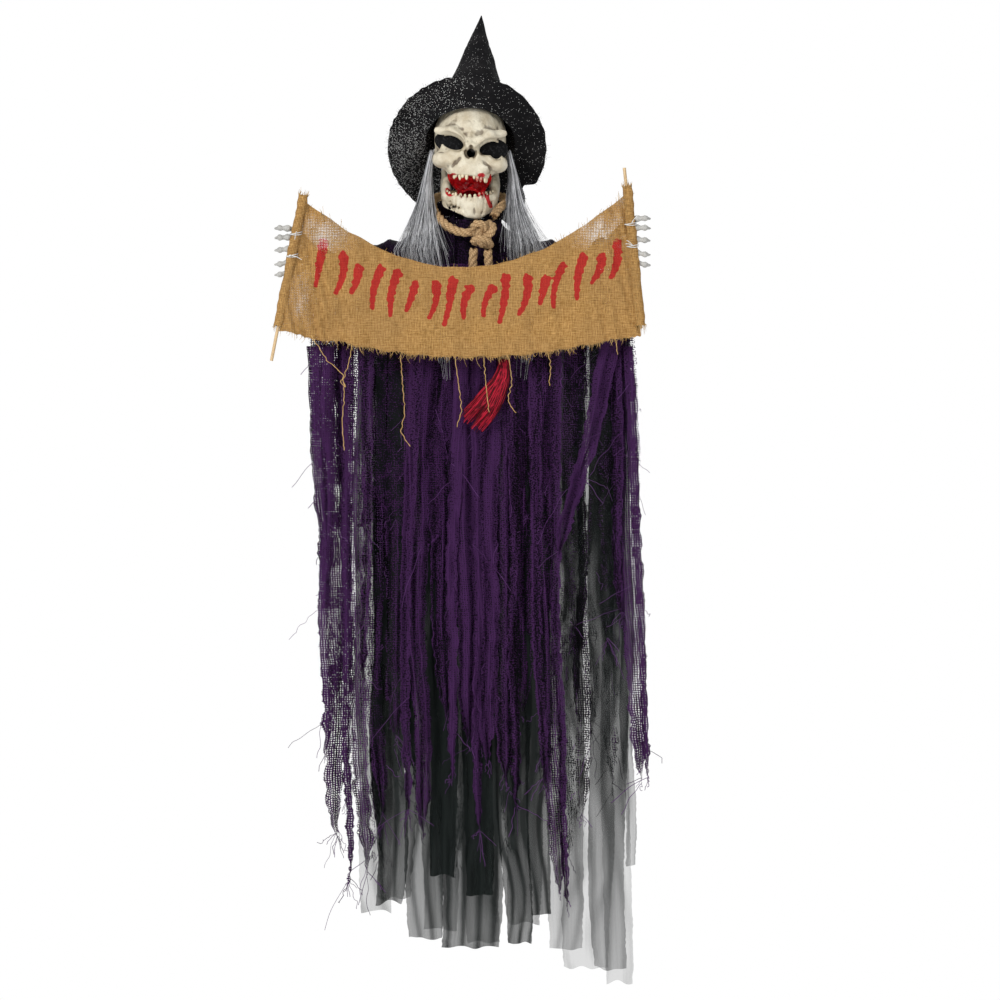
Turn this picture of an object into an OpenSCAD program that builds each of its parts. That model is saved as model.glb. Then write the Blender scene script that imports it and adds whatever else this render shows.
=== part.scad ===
// Hanging witch figure with a moving jaw. Millimetres, +Z up, the figure faces -Y.
// The origin is the centre of the hole that the figure hangs by.

/* [Figure] */
// Height of the hat's tip above the hanging hole
hat_tip_z = 358; // [340:1:365]
// Depth of the longest hem below the hanging hole
hem_drop = 1184; // [1100:1:1250]
// Half the length of the shoulder bar
shoulder_half = 105; // [100:1:115]

/* [Head] */
// Half width of the cranium
cranium_rx = 56; // [54:0.5:57]
// Half depth of the cranium
cranium_ry = 80; // [78:0.5:80]
// Half height of the cranium
cranium_rz = 66; // [64:0.5:66]
// Wall of the skull shells
skull_wall = 3; // [2:0.25:4]
// Angle that the jaw stands open at rest
jaw_open = 18; // [18:1:20]
// Radius of the jaw pins
pin_r = 3; // [2.5:0.25:3.25]

/* [Hat] */
// Half width of the brim
brim_rx = 125; // [118:1:128]
// Thickness of the felt
felt = 2.4; // [1.5:0.1:3]

/* [Banner] */
// Half the distance between the two pockets
banner_half = 262; // [262:1:264]
// Radius of a dowel
dowel_r = 2.5; // [2:0.25:3]
// Outer radius of a pocket
pocket_r = 7; // [6:0.5:7.5]

/* [Rope] */
// Diameter of the rope
rope_d = 14; // [10:1:14]

/* [Control box] */
// Width of the box
box_w = 72; // [70:1:76]
// Height of the box
box_h = 90; // [88:1:94]
// Wall of the box
box_wall = 2.2; // [1.8:0.1:2.5]

/* [Hidden] */
$fn = 32;

cranium_at = [0, -40, 150];
jaw_axis = [0, -35, 100];
skull_cut_z = 112;
seam_y = -40;
pin_clear = 0.05;
gap = 0.3;

// Gear pair: the sector on the jaw and the pinion on the motor
gear_m = 1;
sector_teeth = 48;
pinion_teeth = 12;
pressure = 25;
backlash = 0.15;
gear_x = 34;
gear_w = 4;
gear_centres = gear_m * (sector_teeth + pinion_teeth) / 2;
motor_at = [jaw_axis.y, jaw_axis.z + gear_centres];

neck_y = -45;
neck_r = 10;
flange_z = 104;
plate_z = 108;

hat_tip = [17, 90, hat_tip_z];
brim_ring_at = [0, -41, 139];
brim_tilt = 33.5;

bar_z = -38;
bar_h = 16;
box_top = -38;
box_y0 = -62;
box_y1 = -26;

// Middle lines of the two dowels, low end then high end
left_low = [-306, -165, -206];
left_high = [-257, -165, 45];
right_low = [265, -165, -156];
right_high = [239, -165, 92];

// Hand-chosen points of the rope
loop_route = [[14, -101, -1], [0, -106, -4], [-16, -104, -3], [-34, -96, 6], [-50, -80, 22],
    [-58, -60, 38], [-58, -38, 50], [-50, -14, 58], [-30, 4, 62], [0, 10, 63],
    [30, 4, 62], [50, -14, 58], [58, -36, 52], [56, -58, 46], [49, -78, 38],
    [42, -94, 30], [38, -104, 22]];
tail_route = [[28, -108, -32], [29, -108, -48], [30, -107, -70], [33, -106, -95], [38, -105, -120],
    [44, -104, -145], [50, -103, -170], [54, -103, -195], [53, -104, -215], [48, -105, -235]];
short_route = [[6, -108, -30], [5, -108, -45], [5, -107, -62], [7, -106, -80], [10, -105, -98],
    [14, -104, -115]];
cable_route = [[14, -33, -21.8], [14, -33, -8], [14, -33, 8], [13, -32, 28], [12, -31, 50],
    [12, -31, 72], [12, -28, 92], [11, -20, 102]];

function mix(a, b, t) = a + (b - a) * t;
function unit(v) = v / norm(v);
function radial(r, a) = [r * cos(a), r * sin(a)];
// Involute of a circle, in degrees
function inv(a) = tan(a) * 180 / PI - a;
// Half the angle that a tooth takes up at radius r
function half_tooth(z, r) = let(rp = gear_m * z / 2, rb = rp * cos(pressure))
    (PI * gear_m / 2 - backlash / 2) / 2 / rp * 180 / PI + inv(pressure)
    - (r > rb ? inv(acos(rb / r)) : 0);
// One tooth of a gear with z teeth, as points around angle a
function tooth(z, a) = let(rp = gear_m * z / 2, rb = rp * cos(pressure), low = rp - 1.1 * gear_m,
    high = rp + 0.8 * gear_m, start = max(rb, low), steps = 4)
    concat([radial(low, a - half_tooth(z, start))],
        [for (i = [0:steps]) let(r = mix(start, high, i / steps)) radial(r, a - half_tooth(z, r))],
        [for (i = [steps:-1:0]) let(r = mix(start, high, i / steps)) radial(r, a + half_tooth(z, r))],
        [radial(low, a + half_tooth(z, start))]);

// A straight rod from a to b
module rod(a, b, r) {
    d = b - a;
    translate(a) rotate([0, acos(d.z / norm(d)), atan2(d.y, d.x)]) cylinder(r = r, h = norm(d));
}

// Its children as one mesh
module as_mesh() resize([0, 0, 0]) children();

module ellipsoid(centre, radii, fn = 36) translate(centre) scale(radii) sphere(1, $fn = fn);

// A tube along a list of points, its cross-section turned square to each stretch
module swept(route, r, sides = 10) {
    n = len(route);
    sections = [for (i = [0:n - 1])
        let(t = unit(route[min(i + 1, n - 1)] - route[max(i - 1, 0)]),
            side = unit(abs(t.z) > 0.8 ? cross(t, [0, 1, 0]) : cross(t, [0, 0, 1])),
            up = cross(t, side))
        [for (k = [0:sides - 1]) let(a = 360 * k / sides)
            route[i] + r * cos(a) * side + r * sin(a) * up]];
    loft(sections);
}

// A closed solid through equal rings of points, capped at both ends
module loft(rings) {
    n = len(rings);
    m = len(rings[0]);
    points = [for (ring = rings) each ring];
    sides = [for (i = [0:n - 2]) for (k = [0:m - 1]) let(a = i * m + k, b = i * m + (k + 1) % m)
        each [[a, a + m, b], [b, a + m, b + m]]];
    caps = [[for (k = [0:m - 1]) k], [for (k = [m - 1:-1:0]) (n - 1) * m + k]];
    polyhedron(points, concat(sides, caps));
}

// A closed band through rings of points that join end to end
module band_loop(rings) {
    n = len(rings);
    m = len(rings[0]);
    points = [for (ring = rings) each ring];
    faces = [for (i = [0:n - 1]) for (k = [0:m - 1])
        let(a = i * m + k, b = i * m + (k + 1) % m, j = ((i + 1) % n) * m, c = j + k, d = j + (k + 1) % m)
        each [[a, c, b], [b, c, d]]];
    polyhedron(points, faces);
}

// A hanging panel: upright folds that follow y = depth(x), cut to a front outline
module panel(x0, x1, steps, thick, depth, outline) {
    xs = [for (i = [0:steps]) mix(x0, x1, i / steps)];
    near = [for (x = xs) [x, depth(x)]];
    far = [for (i = [steps:-1:0]) [xs[i], depth(xs[i]) + thick]];
    intersection() {
        translate([0, 0, -1300]) linear_extrude(1500) polygon(concat(near, far));
        translate([0, 400, 0]) rotate([90, 0, 0]) linear_extrude(800) polygon(outline);
    }
}

// Head ---------------------------------------------------------------------------------------

// The face's outer form, drawn in by inset
module face_form(inset) {
    ellipsoid(cranium_at, [cranium_rx, cranium_ry, cranium_rz] - [inset, inset, inset], 44);
    ellipsoid([0, -80, 120], [46, 44, 44] - [inset, inset, inset]);
    ellipsoid([-44, -84, 99], [15, 26, 12] - [inset, inset, inset], 24);
    ellipsoid([44, -84, 99], [15, 26, 12] - [inset, inset, inset], 24);
    ellipsoid([0, -92, 92], [34, 32, 20] - [inset, inset, inset]);
}

// Slanted almond openings for the eyes and a pear-shaped one for the nose
module eye_windows(grow) {
    for (side = [-1, 1])
        translate([side * 30, -140, 134 - side * 5]) rotate([-90, side * 14, 0])
            linear_extrude(60) scale([21 + grow, 14 + grow]) circle(1, $fn = 24);
}

module nose_window() {
    translate([2, -140, 122]) rotate([-90, 0, 0]) linear_extrude(50) polygon([[-9, 7], [9, 7], [0, -11]]);
}

module skull_face() {
    color("wheat") as_mesh() difference() {
        face_form(0);
        face_form(skull_wall);
        eye_windows(0);
        nose_window();
        translate([-100, seam_y, -10]) cube([200, 200, 300]);
        translate([-100, -200, -10]) cube([200, 300, 92]);
        translate([-100, -62, -10]) cube([200, 100, 10 + skull_cut_z]);
    }
}

module skull_back() {
    color("wheat") as_mesh() difference() {
        ellipsoid(cranium_at, [cranium_rx, cranium_ry, cranium_rz], 44);
        ellipsoid(cranium_at, [cranium_rx, cranium_ry, cranium_rz] - skull_wall * [1, 1, 1], 44);
        translate([-100, -200, -10]) cube([200, 200 + seam_y + gap, 300]);
        translate([-100, -100, -10]) cube([200, 200, 10 + skull_cut_z]);
        for (x = [-18, 18]) translate([x, 10, 117]) rotate([-90, 0, 0]) {
            cylinder(r = 1.8, h = 30);
            translate([0, 0, 12.9]) cylinder(r = 3.6, h = 20);
        }
    }
}

module tooth_row(count, ring_r, ring_y, base_z, tip, spread) {
    for (i = [0:count - 1]) let(a = mix(-spread, spread, i / (count - 1)))
        translate([ring_r * sin(a), ring_y - ring_r * cos(a), base_z])
            cylinder(r1 = tip > 0 ? 3 : 2.2, r2 = tip > 0 ? 2.2 : 3, h = abs(tip));
}

module upper_teeth() {
    color("ivory") tooth_row(9, 25, -92, 75.5, -6.2, 62);
}

// Everything that turns with the jaw is drawn shut, then swung open
module jaw_frame() {
    translate(jaw_axis) rotate([jaw_open, 0, 0]) translate(-jaw_axis) children();
}

module jaw_arch(r, extra) {
    intersection() {
        translate([0, -73]) circle(r, $fn = 64);
        translate([-r, -73 - r]) square([2 * r, r + 1]);
    }
    translate([-r, -73]) square([2 * r, 38 + extra]);
}

module jaw() {
    color("wheat") jaw_frame() difference() {
        union() {
            translate([0, 0, 42]) linear_extrude(34) difference() {
                jaw_arch(43, 0);
                jaw_arch(37, 1);
            }
            translate([0, 0, 42]) linear_extrude(4) intersection() {
                jaw_arch(40, 0);
                translate([-50, -120]) square([100, 34]);
            }
            for (x = [-43, 38]) translate([x, -55, 60]) cube([5, 26, 36]);
            for (x = [-43, 38]) translate([x, jaw_axis.y, jaw_axis.z]) rotate([0, 90, 0])
                cylinder(r = 12, h = 5, $fn = 64);
        }
        translate([-60, jaw_axis.y, jaw_axis.z]) rotate([0, 90, 0])
            cylinder(r = pin_r + pin_clear, h = 120, $fn = 64);
    }
}

module lower_teeth() {
    color("ivory") jaw_frame() tooth_row(11, 40, -73, 76, 5.5, 66);
}

module jaw_pins() {
    color("silver") for (s = [0, 1]) mirror([s, 0, 0]) translate([28, jaw_axis.y, jaw_axis.z])
        rotate([0, 90, 0]) {
            cylinder(r = pin_r, h = 15.4, $fn = 64);
            translate([0, 0, 15.4]) cylinder(r = pin_r + 2, h = 2, $fn = 64);
        }
}

module jaw_gear() {
    rim = [for (k = [-2:4]) each tooth(sector_teeth, 90 + k * 360 / sector_teeth)];
    color("white") translate([gear_x, jaw_axis.y, jaw_axis.z]) rotate([90, 0, 90]) mirror([1, 0, 0])
        linear_extrude(gear_w - 0.02) difference() {
            union() {
                polygon(concat([[0, 0]], rim));
                circle(9, $fn = 64);
            }
            circle(pin_r + pin_clear, $fn = 64);
        }
}

module motor_pinion() {
    rim = [for (k = [0:pinion_teeth - 1]) each tooth(pinion_teeth, 90 + (k + 0.5) * 360 / pinion_teeth)];
    color("white") translate([gear_x, motor_at.x, motor_at.y]) rotate([90, 0, 90])
        linear_extrude(gear_w) difference() {
            polygon(rim);
            circle(1, $fn = 32);
        }
}

module motor_shaft() {
    color("silver") translate([24, motor_at.x, motor_at.y]) rotate([0, 90, 0]) cylinder(r = 1, h = 15);
}

module motor() {
    color("gray") translate([3, motor_at.x, motor_at.y]) rotate([0, 90, 0]) difference() {
        union() {
            cylinder(r = 10, h = 27.8, $fn = 48);
            translate([0, 0, -2]) cylinder(r = 4, h = 2.5);
        }
        translate([0, 0, 20.5]) cylinder(r = 1.05, h = 10);
    }
}

module motor_bracket() {
    color("dimgray") difference() {
        union() {
            translate([-33, -72, plate_z]) cube([66, 86, 3]);
            for (x = [-33, 28]) translate([x, jaw_axis.y - 8, 92]) cube([5, 16, 18]);
            translate([31, motor_at.x - 13, 110]) cube([2, 26, 33]);
            translate([8, motor_at.x - 8, 110]) cube([18, 16, 14]);
            for (x = [-18, 18]) translate([x - 4, 2, 110]) cube([8, 10, 12]);
        }
        translate([-1, motor_at.x, motor_at.y]) rotate([0, 90, 0]) cylinder(r = 10.1, h = 31.9, $fn = 48);
        translate([30, motor_at.x, motor_at.y]) rotate([0, 90, 0]) cylinder(r = 3, h = 4);
        translate([-40, jaw_axis.y, jaw_axis.z]) rotate([0, 90, 0]) cylinder(r = pin_r, h = 80, $fn = 64);
        for (x = [-18, 18]) translate([x, 5, 117]) rotate([-90, 0, 0]) cylinder(r = 1.5, h = 20);
    }
}

module skull_screws() {
    color("silver") for (x = [-18, 18]) translate([x, 7, 117]) rotate([-90, 0, 0]) {
        cylinder(r = 1.5, h = 16.5);
        translate([0, 0, 16]) cylinder(r = 3, h = 1.8);
    }
}

module eye_screens() {
    color("black") as_mesh() intersection() {
        difference() {
            face_form(skull_wall + gap);
            face_form(skull_wall + gap + 1);
        }
        eye_windows(2);
    }
}

module led(at) translate(at) rotate([90, 0, 0]) {
    cylinder(r = 2.5, h = 6);
    translate([0, 0, 6]) sphere(2.45);
    translate([0, 0, -1]) cylinder(r = 3, h = 1.5);
}

module eye_leds() {
    color("red") for (x = [-24, 24]) led([x, -90, 130]);
}

module mouth_led() {
    color("red") led([0, -78, 100]);
}

// Curved red roof and throat of the mouth, held in the upper jaw
module mouth_liner() {
    color("firebrick") difference() {
        translate([0, -66, 57]) cylinder(r = 29, h = 24.5, $fn = 48);
        translate([0, -66, 56]) cylinder(r = 26.5, h = 23, $fn = 48);
        translate([-40, -140, 50]) cube([80, 74, 29]);
        translate([-40, -57, 50]) cube([80, 60, 50]);
    }
}

// Hat ----------------------------------------------------------------------------------------

// The ellipse where the crown meets the brim, grown outwards
module crown_ring(grow) {
    translate(brim_ring_at) rotate([-brim_tilt, 0, 0])
        linear_extrude(0.4) scale([68 + grow, 88 + grow]) circle(1, $fn = 48);
}

module hat_cone() {
    color([0.09, 0.09, 0.09]) difference() {
        hull() {
            crown_ring(felt);
            translate(hat_tip - [0, 1, 3]) sphere(3, $fn = 24);
        }
        hull() {
            translate([0, -0.5, -0.6]) crown_ring(0);
            translate(hat_tip - [1, 7, 18]) sphere(1, $fn = 24);
        }
    }
}

// Points of the brim at angle a, from the crown (f = 0) to the edge (f = 1)
function brim_in(a) = brim_ring_at + [(68.3 + felt) * cos(a), 0, 0]
    + (88.3 + felt) * sin(a) * [0, -cos(brim_tilt), sin(brim_tilt)] + [0, -0.6, -1.2];
function brim_out(a) = [-5 + brim_rx * cos(a), -27 - 86 * sin(a), 133 + 105 * sin(a)];
function brim_point(a, f) = mix(brim_in(a), brim_out(a), f)
    + 7 * sin(180 * f) * sin(3 * a + 40) * [0, 0.8, 0.6];

module hat_brim() {
    lift = felt * [0, 0.8, 0.6];
    color([0.07, 0.07, 0.07]) band_loop([for (i = [0:55]) let(a = -i * 360 / 56) concat(
        [for (k = [0:4]) brim_point(a, k / 4)],
        [for (k = [4:-1:0]) brim_point(a, k / 4) - lift])]);
}

// Hair ---------------------------------------------------------------------------------------

// One bunch as rings of [x, y, z, half width, half depth]
module lock(stations) {
    loft([for (s = stations) [for (k = [0:11]) let(a = -30 * k)
        [s[0] + s[3] * cos(a), s[1] + s[4] * sin(a), s[2]]]]);
}

module hair_left() {
    color("silver") lock([[-62, -66, 118, 3, 9], [-69, -66, 90, 4, 9], [-74, -68, 45, 6, 8],
        [-78, -84, 8, 8, 4], [-74, -98, -20, 12, 3], [-68, -97, -36, 16, 3], [-60, -96, -70, 18, 3], [-46, -96, -150, 12, 2.5],
        [-34, -96, -245, 2, 1.5]]);
}

module hair_right() {
    color("silver") lock([[62, -66, 118, 3, 9], [69, -66, 90, 4, 9], [75, -68, 45, 6, 8],
        [82, -84, 8, 10, 4], [90, -98, -20, 13, 3], [94, -97, -36, 16, 3], [96, -96, -70, 18, 3], [90, -96, -150, 12, 2.5],
        [82, -96, -245, 2, 1.5]]);
}

// Frame --------------------------------------------------------------------------------------

module neck_post() {
    color("dimgray") translate([0, neck_y, 0]) {
        translate([0, 0, bar_z + bar_h]) cylinder(r = neck_r, h = flange_z - bar_z - bar_h, $fn = 48);
        translate([0, 0, flange_z]) cylinder(r = 19, h = plate_z - flange_z, $fn = 48);
    }
}

module neck_wrap() {
    color([0.2, 0.12, 0.25]) translate([0, neck_y, -21]) difference() {
        linear_extrude(30) scale([1.1, 1]) circle(37, $fn = 48);
        translate([0, 0, -1]) linear_extrude(32) scale([1.1, 1]) circle(34.5, $fn = 48);
        translate([-16, 20, -1]) cube([32, 30, 10]);
    }
}

module shoulder_bar() {
    color("burlywood") difference() {
        union() {
            translate([-shoulder_half, -53, bar_z]) cube([2 * shoulder_half, 16, bar_h]);
            translate([-30, -60, bar_z]) cube([60, 30, bar_h]);
        }
        for (s = [-1, 1]) translate([s * (shoulder_half - 20), neck_y, -30]) rotate([0, s * 90, 0])
            cylinder(r = 2.5, h = 30);
        for (x = [-9, 9]) translate([x, -40, -30]) rotate([-90, 0, 0]) cylinder(r = 1.5, h = 12);
    }
}

module hang_tab() {
    color("silver") difference() {
        translate([-15, 0, 0]) rotate([90, 0, 90]) linear_extrude(30)
            polygon([[-30, -38], [-27, -38], [-27, -16], [1.5, -16], [1.5, 14], [-1.5, 14], [-1.5, -13],
                [-30, -13]]);
        translate([0, -5, 0]) rotate([-90, 0, 0]) cylinder(r = 4.5, h = 10, $fn = 64);
        for (x = [-9, 9]) translate([x, -35, -30]) rotate([-90, 0, 0]) cylinder(r = 1.7, h = 12);
    }
}

module tab_screws() {
    color("gray") for (x = [-9, 9]) translate([x, -39, -30]) rotate([-90, 0, 0]) {
        cylinder(r = 1.5, h = 12.5);
        translate([0, 0, 12]) cylinder(r = 3.2, h = 2);
    }
}

// A bent arm wire from the bar, by way of the elbow, to the wrist
module arm_wire(s, elbow, wrist) {
    root = [s * (shoulder_half - 20), neck_y, -30];
    turn = [s * (shoulder_half + 8), neck_y, -30];
    rod(root, turn, 2.5);
    translate(turn) sphere(2.6);
    rod(turn, elbow, 2.5);
    translate(elbow) sphere(2.6);
    rod(elbow, wrist, 2.5);
}

elbow_left = [-178, -58, -72];
elbow_right = [168, -58, -62];
wrist_left = [-228, -128, -42];
wrist_right = [206, -128, -24];

module arm_wire_left() {
    color("silver") arm_wire(-1, elbow_left, wrist_left);
}

module arm_wire_right() {
    color("silver") arm_wire(1, elbow_right, wrist_right);
}

// A padded cloth tube over the wire, from near the shoulder to near the wrist
module sleeve(s, elbow, wrist) {
    top = mix([s * (shoulder_half + 8), neck_y, -30], elbow, 0.25);
    low = mix(elbow, wrist, 0.6);
    difference() {
        union() {
            rod(top, elbow, 11);
            translate(elbow) sphere(11.6);
            rod(elbow, low, 10);
        }
        rod(mix(elbow, top, 1.3), elbow, 2.9);
        translate(elbow) sphere(3);
        rod(elbow, mix(elbow, low, 1.3), 2.9);
    }
}

module sleeve_left() {
    color([0.2, 0.12, 0.25]) sleeve(-1, elbow_left, wrist_left);
}

module sleeve_right() {
    color([0.2, 0.12, 0.25]) sleeve(1, elbow_right, wrist_right);
}

// A bony hand: wrist bone, five hand bones and five fingers that reach past the pocket
module hand(s, wrist, knuckle_x, top_z) {
    drops = [0, 13, 30, 50, 64];
    $fn = 14;
    as_mesh() {
        rod(wrist, wrist + [s * 9, -7, 0], 6.5);
        for (i = [0:4]) let(z = top_z - drops[i], k = [knuckle_x - s * i * 2.2, -149, z],
            m = k + [s * 20, -3, 0], tip = k + [s * 33, -10, -2]) {
            rod(wrist + [s * 5, -4, 0], k, 2.6);
            translate(k) sphere(3.9);
            rod(k, m, 2.7);
            translate(m) sphere(3.7);
            rod(m, tip, 2.5);
            translate(tip) sphere(3.3);
        }
    }
}

module hand_left() {
    color("gainsboro") hand(-1, wrist_left, -268, -3);
}

module hand_right() {
    color("gainsboro") hand(1, wrist_right, 246, 12);
}

// Thin clear loops round each pocket, between the fingers
module tie(low, high, z) {
    t = (z - low.z) / (high.z - low.z);
    d = high - low;
    translate(mix(low, high, t)) rotate([0, atan2(d.x, d.z), 0]) rotate_extrude() translate([9, 0]) circle(0.7);
}

module hand_ties() {
    color("white") {
        tie(left_low, left_high, -10);
        tie(left_low, left_high, -44);
        tie(right_low, right_high, 5);
        tie(right_low, right_high, -29);
    }
}

// Banner -------------------------------------------------------------------------------------

module dowel_left() {
    color("burlywood") rod(left_low, left_high, dowel_r);
}

module dowel_right() {
    color("burlywood") rod(right_low, right_high, dowel_r);
}

function along(low, high, z) = mix(low, high, (z - low.z) / (high.z - low.z));

module pocket(low, high, z0, z1) {
    difference() {
        rod(along(low, high, z0), along(low, high, z1), pocket_r);
        rod(along(low, high, z0 - 5), along(low, high, z1 + 5), dowel_r + 0.25);
    }
}

module banner_pocket_left() {
    color("tan") pocket(left_low, left_high, -152, 50);
}

module banner_pocket_right() {
    color("tan") pocket(right_low, right_high, -151, 64);
}

function banner_depth(x) = -142 - 22 * pow(abs(x) / banner_half, 2);
function banner_top(x) = -60 + 122 * pow(abs(x + 12) / 260, 2);
function banner_low(x) = -200 + 46 * pow(abs(x) / 280, 2);

module banner() {
    edge = pocket_r + 0.5;
    low_left = along(left_low, left_high, -150).x + edge;
    high_left = along(left_low, left_high, 44).x + edge;
    low_right = along(right_low, right_high, -150).x - edge;
    high_right = along(right_low, right_high, 58).x - edge;
    steps = 20;
    outline = concat(
        [for (i = [0:steps]) let(x = mix(low_left, low_right, i / steps)) [x, banner_low(x)]],
        [for (i = [steps:-1:0]) let(x = mix(high_left, high_right, i / steps)) [x, banner_top(x)]]);
    color("tan") panel(-300, 300, 32, 2, function(x) banner_depth(x), outline);
}

// Rope ---------------------------------------------------------------------------------------

module rope_loop() {
    color("tan") swept(loop_route, rope_d / 2);
}

// Two wound turns of the rope
module rope_knot() {
    color("tan") {
        translate([24, -116, 1]) rotate([70, 20, 0]) rotate_extrude($fn = 36) translate([8.2, 0]) circle(6.4);
        translate([16, -116, -13]) rotate([80, -35, 0]) rotate_extrude($fn = 36) translate([8.6, 0]) circle(6);
    }
}

module rope_tail() {
    color("tan") swept(tail_route, rope_d / 2);
}

module rope_tail_short() {
    color("tan") swept(short_route, rope_d / 2);
}

module rope_fray() {
    color("crimson") loft([for (s = [[46, -105, -237, 9, 8], [36, -106, -262, 15, 9], [22, -107, -290, 20, 9],
        [8, -108, -314, 13, 7], [0, -108, -324, 6, 5]]) [for (k = [0:11]) let(a = -30 * k)
        [s[0] + s[3] * cos(a), s[1] + s[4] * sin(a), s[2]]]]);
}

// Cloth --------------------------------------------------------------------------------------

// Folds in the gown's panels, deeper at the middle
function gown_front(x) = -86 - 34 * pow(abs(x) / 255, 3) + 5 * sin(x * 5.1);
function gown_back(x) = -3 - 26 * pow(abs(x) / 255, 2) + 4 * sin(x * 4.7);
function robe_front_y(x) = -71 + 2.5 * sin(x * 7.3);
function robe_back_y(x) = gown_back(x) - 11;

// Strips of the torn hem, low ends and the notches between them
module cape_front() {
    color("indigo") panel(-254, 262, 100, 1.5, function(x) gown_front(x), [[-252, -98], [-205, -96],
        [-150, -60], [-100, -26], [-46, -24], [46, -24], [100, -26], [145, -50], [190, -86], [262, -92],
        [256, -480], [262, -700], [273, -850], [246, -780], [232, -600], [214, -560], [190, -890],
        [166, -900], [150, -620], [128, -1000], [104, -1030], [90, -760], [62, -860], [34, -800],
        [4, -780], [-20, -860], [-60, -940], [-84, -700], [-118, -900], [-140, -905], [-158, -760],
        [-188, -945], [-206, -940], [-212, -560], [-234, -540]]);
}

module cape_back() {
    color("indigo") panel(-250, 256, 100, 1.5, function(x) gown_back(x), [[-248, -98], [-205, -92],
        [-150, -60], [-100, -26], [-46, -24], [-24, -42], [24, -42], [46, -24], [100, -26], [145, -50],
        [190, -86], [254, -92], [250, -720], [214, -700], [196, -900], [150, -640], [112, -980],
        [60, -760], [10, -940], [-40, -700], [-96, -930], [-130, -680], [-186, -930], [-208, -640],
        [-244, -700]]);
}

module robe_front() {
    color([0.05, 0.05, 0.06]) panel(-150, 250, 100, 1, function(x) robe_front_y(x), [[-108, -60],
        [108, -60], [140, -300], [214, -480], [248, -760], [256, -1000], [252, -hem_drop],
        [200, -hem_drop + 8], [150, -1130], [144, -1000], [118, -1055], [74, -1120], [40, -1122],
        [-46, -1122], [-70, -1090], [-112, -1068], [-148, -1066], [-150, -800], [-128, -400]]);
}

module robe_back() {
    color([0.05, 0.05, 0.06]) panel(-150, 240, 100, 1, function(x) robe_back_y(x), [[-108, -60],
        [108, -60], [140, -300], [206, -480], [236, -760], [236, -1120], [190, -1150], [150, -1090],
        [90, -1120], [0, -1090], [-60, -1120], [-148, -1060], [-150, -800], [-128, -400]]);
}

// Control box --------------------------------------------------------------------------------

box_z0 = box_top - box_h;
speaker_z = -63;
cell_r = 7.1;
cell_z = [-118, -103.2, -88.4];

module control_box() {
    color([0.12, 0.12, 0.12]) difference() {
        translate([-box_w / 2, box_y0, box_z0]) cube([box_w, box_y1 - box_y0, box_h]);
        translate([-box_w / 2 + box_wall, box_y0 + box_wall, box_z0 + box_wall])
            cube([box_w - 2 * box_wall, box_y1 - box_y0, box_h - 2 * box_wall]);
        for (ring = [[6, 6], [12, 12]]) for (i = [0:ring[1] - 1]) let(a = i * 360 / ring[1])
            translate([ring[0] * cos(a), box_y0 - 1, speaker_z + ring[0] * sin(a)]) rotate([-90, 0, 0])
                cylinder(r = 1.2, h = 5, $fn = 16);
        translate([box_w / 2 - 5, -47, -71]) cube([8, 5, 13]);
        translate([-box_w / 2 - 2, -45, -66]) rotate([0, 90, 0]) cylinder(r = 5.06, h = 8, $fn = 48);
    }
    color([0.12, 0.12, 0.12]) for (s = [0, 1]) mirror([s, 0, 0]) translate([29.8, -44, -77.5]) difference() {
        translate([-3.95, 0, -4]) cube([9, 18, 8]);
        rotate([-90, 0, 0]) cylinder(r = 1.3, h = 20);
    }
}

module box_cover() {
    color([0.15, 0.15, 0.15]) difference() {
        translate([-box_w / 2, box_y1, box_z0]) cube([box_w, 2.4, box_h]);
        translate([-28, box_y1 - 1, box_z0 - 1]) cube([56, 5, 44]);
        for (x = [-29.8, 29.8]) translate([x, box_y1 - 1, -77.5]) rotate([-90, 0, 0]) cylinder(r = 1.7, h = 5);
    }
}

module battery_door() {
    color([0.2, 0.2, 0.2]) difference() {
        translate([-27.7, box_y1 + 0.3, box_z0]) cube([55.4, 2.1, 42.6]);
        for (z = [0:4]) translate([-10, box_y1 + 2, box_z0 + 8 + 3 * z]) cube([20, 2, 1.2]);
    }
}

module batteries() {
    color("darkgreen") for (i = [0:2]) let(s = i % 2 == 0 ? 1 : -1)
        translate([s * -24.5, -36, cell_z[i]]) rotate([0, s * 90, 0]) {
            cylinder(r = cell_r, h = 48, $fn = 48);
            translate([0, 0, 48]) cylinder(r = 2.6, h = 1.5, $fn = 24);
        }
}

module battery_contacts() {
    color("silver") for (x = [-27, 26]) translate([x, -44, -125.5]) cube([1, 16, 42.5]);
}

module circuit_board() {
    color("darkgreen") translate([-25, -45.5, -84]) cube([50, 1.6, 36]);
    color("black") translate([-16, -43.9, -74]) cube([14, 3, 14]);
    color("silver") translate([10, -43.9, -66]) cube([6, 6, 9]);
}

module speaker() {
    color("dimgray") translate([0, box_y0 + box_wall, speaker_z]) rotate([-90, 0, 0]) {
        cylinder(r = 18, h = 2.5, $fn = 48);
        translate([0, 0, 2.5]) cylinder(r1 = 17, r2 = 9, h = 5, $fn = 48);
        translate([0, 0, 7.5]) cylinder(r = 9, h = 4, $fn = 48);
    }
}

module power_switch() {
    color("black") {
        translate([31, -48.5, -70.5]) cube([2.4, 8, 13]);
        translate([33, -46.6, -70.5]) cube([6.5, 4.2, 8]);
    }
}

module try_button() {
    color("red") translate([-box_w / 2 - 3, -45, -66]) rotate([0, 90, 0]) {
        cylinder(r = 5, h = 7, $fn = 48);
        translate([0, 0, 5.9]) cylinder(r = 6.4, h = 1.2, $fn = 48);
    }
}

module box_screws() {
    color("silver") for (x = [-29.8, 29.8]) translate([x, box_y1 - 8, -77.5]) rotate([-90, 0, 0]) {
        cylinder(r = 1.25, h = 10.6);
        translate([0, 0, 10.4]) cylinder(r = 2.6, h = 1.5);
    }
}

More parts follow.
